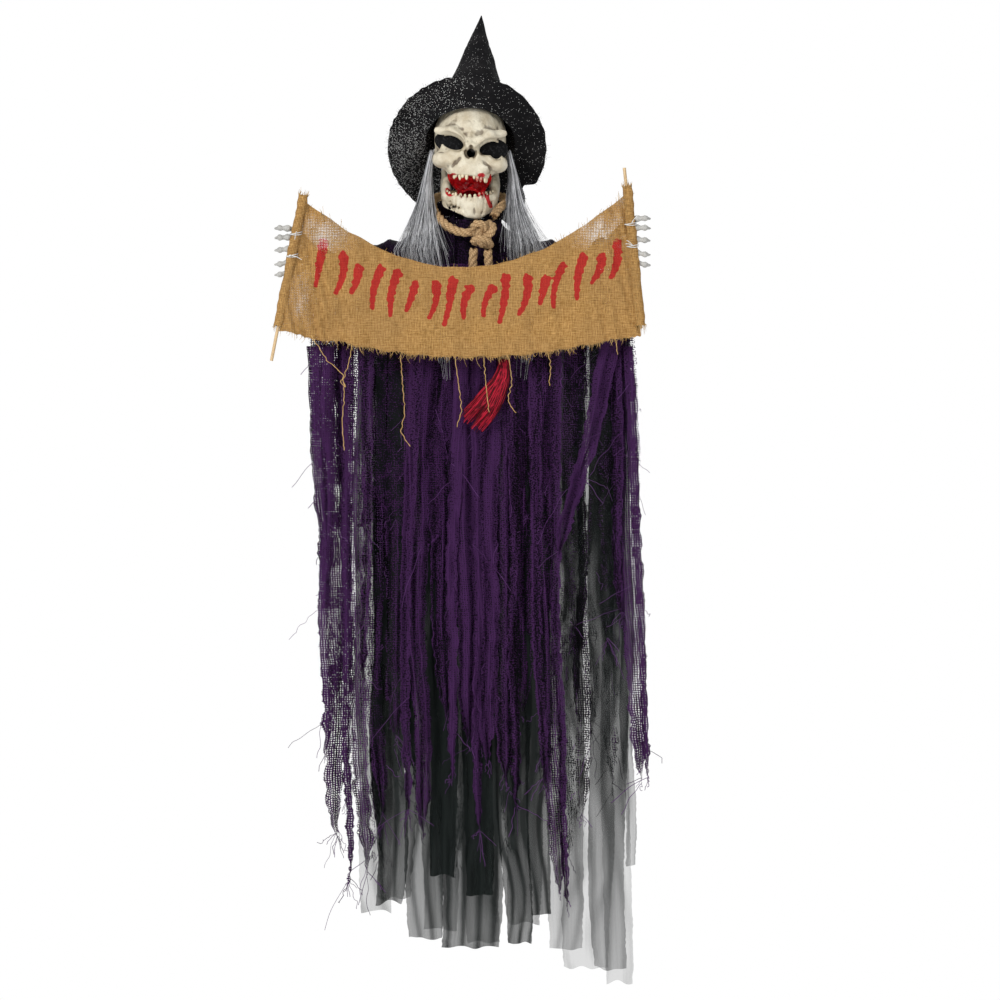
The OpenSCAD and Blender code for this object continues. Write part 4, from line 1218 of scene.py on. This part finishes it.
def make_sleeves():
    for side, name, elbow in ((-1, "left", (-178, -58, -72)), (1, "right", (168, -58, -62))):
        line = even([(side * 110, -45, -36), (side * 140, -50, -50), elbow, WRISTS[name]], 4.0)
        rows, cols = len(line), 34
        lateral, up = frames_along(line)
        a = angle_grid(rows, cols)
        t = row_share(rows, cols)
        ring = stack(np.cos(a), np.sin(a), t * 8)
        creases = 1.2 * np.sin(t * 70 + 1.5 * np.sin(a)) * bump_at(t, 0.45, 0.3)
        r = mix(13.5, 12.5, t) + 1.6 * waves(ring, 2.0, 71) + creases
        outward = np.cos(a)[..., None] * lateral[:, None] + np.sin(a)[..., None] * up[:, None]
        points = line[:, None] + r[..., None] * outward
        flat = stack(a * 13, t * length_of(line), 0 * a) * MM
        sleeve = Build()
        frayed = 0.9 * smooth(0.9, 1, t)
        sleeve.grid(
            points, wrap=True, flat=flat.reshape(-1, 3), edge=frayed, open=0.1 + 0 * t, tone=0.45 + 0 * t,
            fold=0 * t
        )
        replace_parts(sleeve.piece(f"sleeve_cloth_{name}", ROOT, "purple_cloth", [PURPLE_CLOTH]),
            f"sleeve_{name}")


make_gown()
make_robe()
make_shoulders()
make_sleeves()

# ---------------------------------------------------------------- skull, jaw, teeth, eyes and mouth

SEAM_Y, FACE_FLOOR, BACK_FLOOR, WALL = -40.0, 83.0, 112.0, 2.6
JAW_AT, JAW_OPEN = vec(0, -35, 100), math.radians(18)


def blurred(field, reach):
    out = field
    for axis in range(3):
        for _ in range(2):
            out = sum(np.roll(out, s, axis=axis) for s in range(-reach, reach + 1)) / (2 * reach + 1)
    return out


def sample(field, points, lo, step):
    at = np.clip((points - vec(*lo)) / step, 0, np.array(field.shape) - 1.001)
    i = at.astype(int)
    f = at - i
    out = 0
    for c in itertools.product((0, 1), repeat=3):
        weight = np.prod(np.where(np.array(c) == 1, f, 1 - f), axis=1)
        out = out + weight * field[tuple((i + np.array(c)).T)]
    return out


def hollows(field, points, lo, step):
    """How sunken each point is: 0 on swellings, 1 in grooves."""
    wide = sample(field - blurred(field, 3), points, lo, step)
    tight = sample(field - blurred(field, 1), points, lo, step)
    return np.clip(0.5 + 0.75 * wide / step + 1.6 * tight / step, 0, 1)


def skull_field(p):
    f = ball(p, (0, -40, 150), (56, 80, 65))
    f = join(f, ball(p, (1, -82, 122), (47, 43, 46)), 16)
    f = carve(f, ball(p, (-60, -98, 141), (9, 22, 20)), 10)
    f = carve(f, ball(p, (61, -98, 137), (9, 22, 20)), 10)
    brows = [((-50, -106, 155), (-29, -118, 153), 7.5, 8.5), ((-29, -119, 151), (-6, -127, 133), 8.5, 8.0),
             ((9, -127, 130), (31, -120, 145), 8.0, 8.5), ((31, -119, 147), (52, -106, 150), 8.5, 7.0)]
    for a, b, ra, rb in brows:
        f = join(f, capsule(p, a, b, ra - 1.6, rb - 1.4), 9)
    f = join(f, capsule(p, (1, -118, 140), (2, -127, 126), 6.5, 5.5), 8)
    for side, z in ((-1, 110), (1, 102)):
        f = join(f, ball(p, (side * 45, -96, z), (13, 20, 12)), 12)
        f = join(f, capsule(p, (side * 44, -106, z + 3), (side * 20 + 1, -119, z - 6), 6.5, 5), 10)
        f = join(f, capsule(p, (side * 50, -90, z), (side * 54, -52, z + 14), 6, 5), 8)
    f = join(f, ball(p, (1, -95, 94), (34, 31, 19)), 10)
    for k in range(9):
        a = math.radians(-58 + 14.5 * k)
        x, y = 29.5 * math.sin(a) + 1, -93 - 29.5 * math.cos(a)
        f = join(f, capsule(p, (x, y, 97 - 0.1 * x), (x, y, 86 - 0.1 * x), 3.4, 3.9), 3)
    sockets = [((-29, -125, 136), (24, 24, 14), -22), ((-38, -121, 136), (14, 22, 14), -34),
        ((33, -125, 127), (23, 24, 14), 15),
               ((40, -121, 122), (13, 22, 15), 30)]
    for centre, radii, tilt in sockets:
        f = carve(f, tilted_ball(p, centre, radii, tilt), 4)
    for x, tilt in ((-4.5, 24), (8.5, -22)):
        f = carve(f, tilted_ball(p, (x, -128, 118), (4.6, 17, 9.5), tilt), 2.5)
    f = carve(f, ball(p, (2, -128, 124), (4.2, 15, 7)), 2.5)
    grooves = [((-4, -131, 137), (-10, -128, 156), 2.4), ((11, -131, 136), (15, -128, 154), 2.2),
        ((5, -131, 136), (4, -129, 146), 1.2),
               ((-7, -127, 119), (-22, -121, 104), 2.4), ((-22, -121, 104), (-35, -112, 90), 2.0),
               ((12, -127, 118), (25, -121, 102), 2.4),
               ((25, -121, 102), (38, -111, 88), 2.0), ((-40, -118, 101), (-26, -121, 96), 1.5),
               ((30, -119, 96), (44, -114, 92), 1.5),
               ((14, -124, 154), (44, -116, 158), 2.2), ((-46, -116, 165), (-16, -122, 161), 1.7),
               ((-50, -106, 122), (-42, -112, 121), 1.8),
               ((50, -104, 108), (42, -110, 110), 1.8), ((-30, -116, 172), (6, -119, 170), 1.3),
               ((16, -118, 170), (42, -110, 168), 1.4)]
    for a, b, r in grooves:
        f = carve(f, capsule(p, a, b, r * 1.25, r), 3)
    f = carve(f, tilted_ball(p, (-14, -124, 158), (7.5, 6, 4), -28), 3)
    lumps = 0.8 * waves(p, 21, 81) + 0.22 * waves(p, 9, 82) + 0.05 * waves(p, 4.5, 83)
    return f + lumps


def make_skull():
    step = 1.5
    lo, hi = vec(-68, -140, 74), vec(68, 48, 222)
    p = grid_points(lo, hi, step)
    outer = skull_field(p)
    x, y, z = p[..., 0], p[..., 1], p[..., 2]
    windows = np.minimum.reduce([
        tilted_ball(p, (-28, -125, 136), (19.5, 60, 10.5), -22),
        tilted_ball(p, (33, -125, 127), (19, 60, 10.5), 15),
        ball(p, (2, -128, 119), (7, 40, 7.5)), tilted_ball(p, (40, -121, 122), (10, 60, 12), 30),
    ])
    windows = np.where(y < -70, windows, 99)
    shell = np.maximum(outer, -(outer + WALL))
    shell = np.maximum(shell, -windows)
    floor = np.where(y < -62, FACE_FLOOR - 0.1 * x * (y < -100), BACK_FLOOR)
    shell = np.maximum(shell, floor - z)
    for name, node, half in (("skull_mask", "skull_face", y - (SEAM_Y - 0.2)),
            ("skull_rear", "skull_back", (SEAM_Y + 0.2) - y)):
        points, faces = surface(np.maximum(shell, half), lo, step)
        # Painted shade in the grooves, on top of the dark wash; the deep term adds painted shade on the inside
        # of the hollow shell.
        crease = hollows(outer, points, lo, step)
        deep = smooth(0.9, 2.2, -sample(outer, points, lo, step))
        lip = bump_at(points[:, 2], 84, 5) * (points[:, 1] < -100)
        blood = 0.22 * lip + 0.45 * (bump_at(points[:, 0], 18, 6) + bump_at(points[:, 0], -27, 6)) * lip
        mesh = Build()
        mesh.add(points, faces, crease=np.clip(crease + deep * 0.7, 0, 1.3), blood=blood)
        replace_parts(mesh.piece(name, ROOT, "bone_plastic", [BONE]), node)


def swing(points, angle=JAW_OPEN):
    """From the shut jaw's frame to the open one that the part rests in."""
    q = np.asarray(points, float) - JAW_AT
    c, s = math.cos(angle), math.sin(angle)
    return stack(q[..., 0], q[..., 1] * c - q[..., 2] * s, q[..., 1] * s + q[..., 2] * c) + JAW_AT


def jaw_curve(a):
    """A point on the jaw's outline from above, on the half circle in front; the straight sides behind are left
    to the jaw's field.
    """
    r = 39.0
    return vec(r * math.sin(a), -73 - r * math.cos(a))


def make_jaw():
    step = 1.4
    lo, hi = vec(-52, -126, 36), vec(54, -18, 116)
    p = grid_points(lo, hi, step)
    x, y, z = p[..., 0], p[..., 1], p[..., 2]
    front = np.hypot(x, y + 73) - 39
    side = np.abs(x) - 39
    ring = np.where(y < -73, front, side)
    behind = np.maximum(y + 30, 0)
    top = 73.5 + 8 * smooth(-70, -45, y)
    low = 43 + 9 * smooth(-95, -50, y) + 8 * smooth(6, 42, np.abs(x - 8))
    tall = np.abs(z - (top + low) / 2) - (top - low) / 2 + 3
    wide = np.abs(ring) - 2.0
    wall = np.hypot(np.maximum(wide, 0), np.maximum(tall, 0)) + np.minimum(np.maximum(wide, tall), 0) - 3.0
    f = np.maximum(wall, behind)
    f = join(f, ball(p, (8, -109, 51), (17, 9, 11)), 9)
    f = join(f, ball(p, (3, -86, 50), (30, 28, 3)), 4)
    for s in (-1, 1):
        f = join(f, ball(p, (s * 40.5, -55, 68), (4.2, 16, 14)), 6)
        f = join(f, capsule(p, (s * 40.5, -50, 72), (s * 40.5, -38, 96), 4.6, 5.4), 6)
        disc = np.maximum(np.hypot(y + 35, z - 100) - 11.8, np.abs(x - s * 40.5) - 2.4)
        f = join(f, disc, 1.5)
    for s in (-1, 1):
        f = join(f, capsule(p, (s * 36, -90, 70), (s * 37, -54, 86), 6.0, 6.5), 6)
    for k in range(11):
        a = math.radians(-64 + 12.8 * k)
        cx, cy = jaw_curve(a)
        f = join(f, capsule(p, (cx, cy - 1.2, 73), (cx, cy - 1.6, 62), 3.1, 2.4), 2.4)
    for a, b, r in (((-16, -116, 62), (-8, -118, 47), 1.5), ((24, -114, 63), (19, -116, 49), 1.4),
            ((-31, -101, 64), (-22, -110, 50), 1.2),
                    ((7, -119, 60), (8, -120, 46), 1.0)):
        f = carve(f, capsule(p, a, b, r, r * 0.6), 4)
    f = f + 0.6 * waves(p, 19, 91) + 0.4 * waves(p, 8, 92) + 0.2 * waves(p, 4.5, 93)
    bore = np.hypot(y + 35, z - 100) - 3.4
    f = np.maximum(f, -bore)
    points, faces = surface(f, lo, step)
    # Painted shade in the grooves, on top of the bone's dark wash.
    crease = hollows(f, points, lo, step)
    drip = bump_at(points[:, 0], 27 - 0.35 * (points[:, 2] - 73), 3.6)
    drip = drip * smooth(46, 60, points[:, 2]) * (points[:, 1] < -88)
    rim = smooth(68, 77, points[:, 2]) * (points[:, 1] < -80)
    mesh = Build()
    mesh.add(swing(points), faces, crease=crease, blood=0.2 * rim + 0.75 * drip
        + 0.4 * rim * bump_at(points[:, 0], -33, 7))
    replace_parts(mesh.piece("jaw_bone", JAW, "bone_plastic", [BONE]), "jaw")


def peg(build, root, tip, wide, deep, facing, blood):
    """One worn tooth, from its root to a blunt tip."""
    n = 7
    t = np.linspace(0, 1, n)
    axis = tip - root
    across = np.cross(axis / np.linalg.norm(axis), facing)
    across /= np.linalg.norm(across)
    a = np.arange(10) * 2 * math.pi / 10
    size = np.interp(t, [0, 0.25, 0.7, 0.92, 1.0], [0.8, 1.0, 0.94, 0.72, 0.3])
    ring = wide / 2 * np.cos(a)[None, :, None] * across + deep / 2 * np.sin(a)[None, :, None] * facing
    points = root + t[:, None, None] * axis + size[:, None, None] * ring
    points = points + 0.25 * waves(points, 3.0, 95)[..., None] * facing
    faces = [(i * 10 + k, (i + 1) * 10 + k, (i + 1) * 10 + (k + 1) % 10, i * 10 + (k + 1) % 10)
        for i in range(n - 1) for k in range(10)]
    faces += [tuple(range(10)), tuple((n - 1) * 10 + k for k in reversed(range(10)))]
    # Painted shade, darkest at the root where the tooth meets the gum and faint at the tip.
    build.add(points, faces, crease=np.repeat(np.interp(t, [0, 0.3, 1], [1, 0.35, 0.1]), 10), blood=blood)


def make_teeth():
    own = np.random.default_rng(97)
    upper = Build()
    for k in range(11):
        a = math.radians(-62 + 12.4 * k)
        if k == 5:
            continue
        out = vec(math.sin(a), -math.cos(a), 0)
        x = 28.5 * math.sin(a) + 1
        root = vec(x, -93 - 28.5 * math.cos(a), 89 - 0.1 * x)
        tip = root + vec(own.normal(0, 0.9), own.normal(-0.3, 0.5), -own.uniform(10.0, 14.0))
        peg(upper, root, tip, own.uniform(5.0, 6.2), 4.4, out, 0.25 + 0.25 * (k in (7, 8)))
    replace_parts(upper.piece("teeth_upper", ROOT, "tooth_plastic", [TEETH]), "upper_teeth")
    lower = Build()
    for k in range(13):
        a = math.radians(-66 + 11.0 * k)
        out = vec(math.sin(a), -math.cos(a), 0)
        cx, cy = jaw_curve(a)
        root = vec(cx, cy, 71)
        tip = root + vec(own.normal(0, 0.7), own.normal(0, 0.4), own.uniform(7.5, 10.0))
        peg(lower, root, tip, own.uniform(4.6, 5.6), 3.8, out, 0.3 + 0.25 * (k in (8, 9)))
    lower.points = [swing(part) for part in lower.points]
    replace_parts(lower.piece("teeth_lower", JAW, "tooth_plastic", [TEETH]), "lower_teeth")


def make_eyes_and_mouth():
    screens = Build()
    for cx, cz, tilt, rx, rz in ((-31, 137, -17, 25, 16), (35, 124, 12, 25, 18)):
        rows, cols = 24, 40
        r = row_share(rows, cols)
        a = angle_grid(rows, cols)
        u, w = rx * r * np.cos(a), rz * r * np.sin(a)
        c, s = math.cos(math.radians(tilt)), math.sin(math.radians(tilt))
        x, z = cx + u * c - w * s, cz + u * s + w * c
        y = -101.5 - 3.5 * (1 - r**2) + 0.004 * (np.abs(x) - 6) ** 2 + 0.5 * waves(stack(x, z), 11, 98)
        screens.grid(stack(x, y, z), wrap=True)
    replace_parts(screens.piece("eye_fills", ROOT, "eye_mesh", [SCREEN]), "eye_screens")

    mouth = Build()
    cols, rows = 60, 44
    u = span_grid(rows, cols)
    v = row_share(rows, cols)
    half = mix(34, 17, smooth(0.15, 1, v))
    x = mix(-1, 3, v) + u * half
    z = mix(87, 50, v) - 4 * (1 - u**2) * v
    y = -112 + 34 * (1 - np.abs(u) ** 3) * np.sin(math.pi * (0.12 + 0.76 * v)) + 3 * np.abs(u) + 6 * v
    bumps = 1.6 * waves(stack(x, z), 15, 101) + 0.8 * waves(stack(x, z), 6, 102)
    mouth.grid(stack(x, y + bumps, z))
    tongue = 0.5 + 0.5 * np.cos(np.clip(u * 1.25, -1, 1) * math.pi)
    ty = -96 + 22 * v - 6 * tongue + 1.2 * waves(stack(x, z), 10, 103)
    tz = mix(56, 66, v) + 9 * tongue * mix(0.7, 1, v)
    mouth.grid(stack(x * mix(0.8, 0.95, v) * 0.9 + 2, ty, tz))
    mouth = mouth.piece("mouth_flesh", ROOT, "red_mouth", [MOUTH])
    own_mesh(mouth)
    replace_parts(mouth, "mouth_liner")


# ---------------------------------------------------------------- hat

RING_AT, RING_TILT, TIP = vec(0, -41, 139), math.radians(33.5), vec(17, 90, 358)


def brim_in(a):
    return RING_AT + vec(70.7 * math.cos(a), 0, 0) + 90.7 * math.sin(a) * vec(
        0, -math.cos(RING_TILT), math.sin(RING_TILT))


def brim_out(a):
    return vec(-5 + 125 * math.cos(a), -27 - 86 * math.sin(a), 133 + 105 * math.sin(a))


def make_hat():
    cols, rows = 260, 56
    brim = Build()
    angles = np.linspace(0, 2 * math.pi, cols, endpoint=False)
    inner, outer = np.array([brim_in(a) for a in angles]), np.array([brim_out(a) for a in angles])
    f = np.linspace(0, 1, rows)[:, None, None]
    lower = mix(inner[None], outer[None], f)
    a = angles[None, :] + np.zeros((rows, 1))
    ff = f[..., 0] + np.zeros((1, cols))
    lift = 7 * np.sin(math.pi * ff) * np.sin(3 * a + math.radians(40))
    ring = stack(np.cos(a) * 2, np.sin(a) * 2, ff * 1.6)
    lift = lift + 2.6 * waves(ring, 1.5, 111) * smooth(0, 0.3, ff)
    lift = lift + 0.8 * waves(ring, 0.5, 112) * smooth(0, 0.2, ff)
    notch = bump_at(a, math.radians(323), 0.07) * smooth(0.7, 1.0, ff)
    lobe = bump_at(a, math.radians(304), 0.15) * smooth(0.45, 1.0, ff)
    shift = lift[..., None] * vec(0, 0.8, 0.6) + notch[..., None] * vec(-12, 0, 9)
    shift = shift + lobe[..., None] * vec(15, 6, -40)
    ragged = 1.3 * waves(ring, 0.22, 113) * smooth(0.97, 1.0, ff)
    under = lower + shift + ragged[..., None] * (outer - inner)[None] / 60
    over = under + vec(0, 2.4, 3.2) * (1 - 0.35 * smooth(0.95, 1, ff))[..., None]
    glitter = np.clip(0.5 + 0.7 * np.cos(a - math.radians(205)), 0.12, 1.2)
    whole = np.concatenate([under, over[::-1]])
    both = np.concatenate([glitter, glitter[::-1]])
    brim.grid(whole, wrap=True, glitter=both)
    n = cols * 2 * rows
    seam = [(k, (k + 1) % cols, n - cols + (k + 1) % cols, n - cols + k) for k in range(cols)]
    brim.faces += seam
    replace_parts(brim.piece("hat_brim_felt", ROOT, "black_felt", [FELT]), "hat_brim")

    crown = Build()
    cols, rows = 220, 120
    a = angle_grid(rows, cols)
    t = row_share(rows, cols)
    edge = RING_AT + stack(72 * np.cos(a), -92 * np.sin(a) * math.cos(RING_TILT),
        92 * np.sin(a) * math.sin(RING_TILT))
    edge = edge + vec(0, 0.8, 0.6)
    rise = t ** 0.97
    points = mix(edge, TIP + 0 * edge, np.minimum(rise, 0.992)[..., None])
    ring = stack(np.cos(a) * 2, np.sin(a) * 2, t * 7)
    out = stack(np.cos(a), -np.sin(a) * 0.83, np.sin(a) * 0.55)
    dent = 2.2 * waves(ring, 2.2, 114) + 0.9 * waves(ring, 0.7, 115)
    dent = dent - 1.6 * bump_at(t, 0.72, 0.02) - 1.2 * bump_at(t, 0.55, 0.03)
    points = points + (dent * smooth(0, 0.1, t) * (1 - 0.75 * t))[..., None] * out
    crown.grid(points, wrap=True, glitter=0.3 * (1 - t) - 0.15)
    last = (rows - 1) * cols
    crown.faces.append(tuple(last + k for k in range(cols)))
    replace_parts(crown.piece("hat_crown_felt", ROOT, "black_felt", [FELT]), "hat_cone")

    fuzz = Build()
    own = np.random.default_rng(117)
    for _ in range(700):
        k = own.integers(0, 260)
        row = int(56 * own.uniform(0.1, 1) ** 0.35) - 1 if own.uniform() < 0.6 else 55
        p = under[row, k] + vec(*own.normal(0, 0.6, 3))
        radial = outer[k] - inner[k]
        radial /= np.linalg.norm(radial)
        tipward = radial * own.uniform(0.5, 3.5) * (row > 50) + vec(
            own.normal(0, 2), -own.uniform(0.6, 2.0), own.normal(0, 2))
        fuzz.tube(np.array([p, p + 0.5 * tipward + own.normal(0, 0.4, 3), p + tipward]), [0.18, 0.15, 0.08],
            3, glitter=0.0)
    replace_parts(fuzz.piece("hat_fuzz", ROOT, "black_felt", [FELT]), "hat_brim")


# ---------------------------------------------------------------- hair

LEFT_LOCK = [(-60, -66, 122, 4, 10), (-66, -68, 90, 7, 11), (-71, -76, 45, 14, 10), (-75, -92, 8, 25, 7),
    (-78, -102, -20, 34, 5),
    (-79, -102, -36, 37, 5), (-70, -100, -70, 32, 4), (-45, -99, -150, 14, 3), (-34, -98, -245, 4, 2)]
RIGHT_LOCK = [(60, -66, 122, 4, 10), (66, -68, 90, 7, 11), (71, -74, 45, 13, 9), (78, -92, 8, 22, 6),
    (86, -102, -20, 29, 5),
    (89, -102, -36, 31, 5), (92, -100, -70, 27, 4), (90, -99, -150, 13, 3), (82, -98, -245, 4, 2)]


def make_hair():
    own = np.random.default_rng(121)
    for side, lock in (("left", LEFT_LOCK), ("right", RIGHT_LOCK)):
        strands = Build()
        key = spline(lock, 60)
        s = np.linspace(0, 1, 60)
        for _ in range(430):
            a, r = own.uniform(0, 6.28), math.sqrt(own.uniform(0, 1))
            u, w = r * math.cos(a), r * math.sin(a)
            drift = own.normal(0, 0.35, 2)
            end = int(own.choice([own.integers(26, 36), own.integers(34, 46), own.integers(48, 60)],
                p=[0.35, 0.45, 0.2]))
            wave = own.uniform(0.4, 2.4)
            ang = s * own.uniform(4, 11) + own.uniform(0, 6.28)
            x = key[:, 0] + (u + drift[0] * s) * key[:, 3] + wave * np.sin(ang) * smooth(0.05, 0.3, s)
            y = key[:, 1] + (w + 0.4 * drift[1] * s) * key[:, 4] + 0.6 * wave * np.cos(ang)
            if own.uniform() < 0.10:
                x = x + own.normal(0, 10) * smooth(0.15, 0.6, s)
            z = key[:, 2] + own.normal(0, 2.5)
            line = np.stack([x, np.maximum(y, -116), z], axis=1)[:end:2]
            width = own.uniform(0.22, 0.5)
            strands.tube(line, np.linspace(width, width * 0.45, len(line)), 3,
                tone=own.choice([own.uniform(-0.3, 0.3), own.uniform(0.3, 0.95)]))
        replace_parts(strands.piece(f"hair_strands_{side}", ROOT, "grey_hair", [HAIR]), f"hair_{side}")


# ---------------------------------------------------------------- hands and their ties


def make_hands():
    step = 1.25
    for name, side, lo, hi, knuckle_x, top in (
        ("left", -1, (-312, -184, -84), (-218, -118, 8), -268, -3),
        ("right", 1, (200, -184, -64), (292, -118, 26), 246, 12),
    ):
        p = grid_points(vec(*lo), vec(*hi), step)
        wrist = WRISTS[name]
        f = capsule(p, wrist, wrist + vec(side * 10, -6, 0), 8.0, 9.0)
        for k, drop in enumerate((0, 13, 30, 50, 64)):
            z = top - drop
            base = wrist + vec(side * 14, -8, 12 - 6 * k)
            knuckle = vec(knuckle_x, -149 - 2 * (k % 2), z)
            mid = knuckle + vec(side * 13, -11, 2.0 - k)
            end = mid + vec(side * 12, -2.0, 0.5 - k)
            tip = end + vec(side * 7.5, 5.5, -0.6)
            for bone, fillet in (
                (capsule(p, base, knuckle, 4.6, 4.2), 2.5), (ball(p, knuckle, (6.6, 6.4, 6.2)), 2.0),
                (capsule(p, knuckle, mid, 4.1, 3.7), 1.5), (ball(p, mid, (5.7, 5.7, 5.5)), 1.6),
                (capsule(p, mid, end, 3.7, 3.3), 1.5), (ball(p, end, (4.8, 5.0, 4.8)), 1.4),
                (capsule(p, end, tip, 3.6, 1.8), 1.2),
            ):
                f = join(f, bone, fillet)
        f = f + 0.28 * waves(p, 9, 131) + 0.2 * waves(p, 4, 132)
        points, faces = surface(f, vec(*lo), step)
        # Painted shade between the finger bones and in their grooves.
        crease = hollows(f, points, vec(*lo), step)
        mesh = Build()
        mesh.add(points, faces, crease=0.85 * crease, blood=0.0)
        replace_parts(mesh.piece(f"hand_bones_{name}", ROOT, "hand_plastic", [PALE_BONE]), f"hand_{name}")
    ties = Build()
    own = np.random.default_rng(135)
    for name, levels in (("left", (-10, -44)), ("right", (5, -29))):
        foot, head = POCKETS[name]
        for z in levels:
            centre = mix(foot, head, (z - foot[2]) / (head[2] - foot[2]))
            for turn in range(2):
                a = np.linspace(0, 2 * math.pi, 40)
                r = 9.2 + 0.7 * turn
                line = centre + np.stack([r * np.cos(a), r * 0.92 * np.sin(a),
                    1.5 * turn + 2.2 * np.sin(a + turn)], axis=1)
                ties.tube(line, 0.55, 6)
            for _ in range(2):
                p = centre + vec(0, -9, 0)
                q = p + vec(own.normal(0, 6), -3, own.normal(0, 7))
                ties.tube(spline([p, mix(p, q, 0.5) + vec(0, -1.5, 1), q], 8), 0.5, 5)
    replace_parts(ties.piece("tie_loops", ROOT, "clear_tie", [CLEAR]), "hand_ties")


make_skull()
make_jaw()
make_teeth()
make_eyes_and_mouth()
make_hat()
make_hair()
make_hands()

# ---------------------------------------------------------------- CAD pieces kept as they are

KEPT = {
    "jaw_pins": STEEL, "jaw_gear": GEAR, "motor_pinion": GEAR, "motor_shaft": STEEL, "motor": MOTOR,
    "motor_bracket": FRAME_PLASTIC, "skull_screws": STEEL, "eye_leds": LENS, "mouth_led": LENS,
    "neck_post": FRAME_PLASTIC,
    "shoulder_bar": WOOD, "hang_tab": STEEL, "tab_screws": STEEL, "arm_wire_left": STEEL,
    "arm_wire_right": STEEL,
    "dowel_left": WOOD, "dowel_right": WOOD, "control_box": BOX_PLASTIC, "box_cover": BOX_PLASTIC,
    "battery_door": BOX_PLASTIC, "batteries": CELL, "battery_contacts": STEEL, "circuit_board": BOARD,
    "speaker": PAPER,
    "power_switch": FRAME_PLASTIC, "try_button": LENS, "box_screws": STEEL, "head_cable": CABLE,
}


def dress_kept_nodes():
    for node, material in KEPT.items():
        ob = bpy.data.objects[node]
        if not ob.data.materials:
            ob.data.materials.append(material)
        for slot in ob.material_slots:
            slot.material = material


dress_kept_nodes()
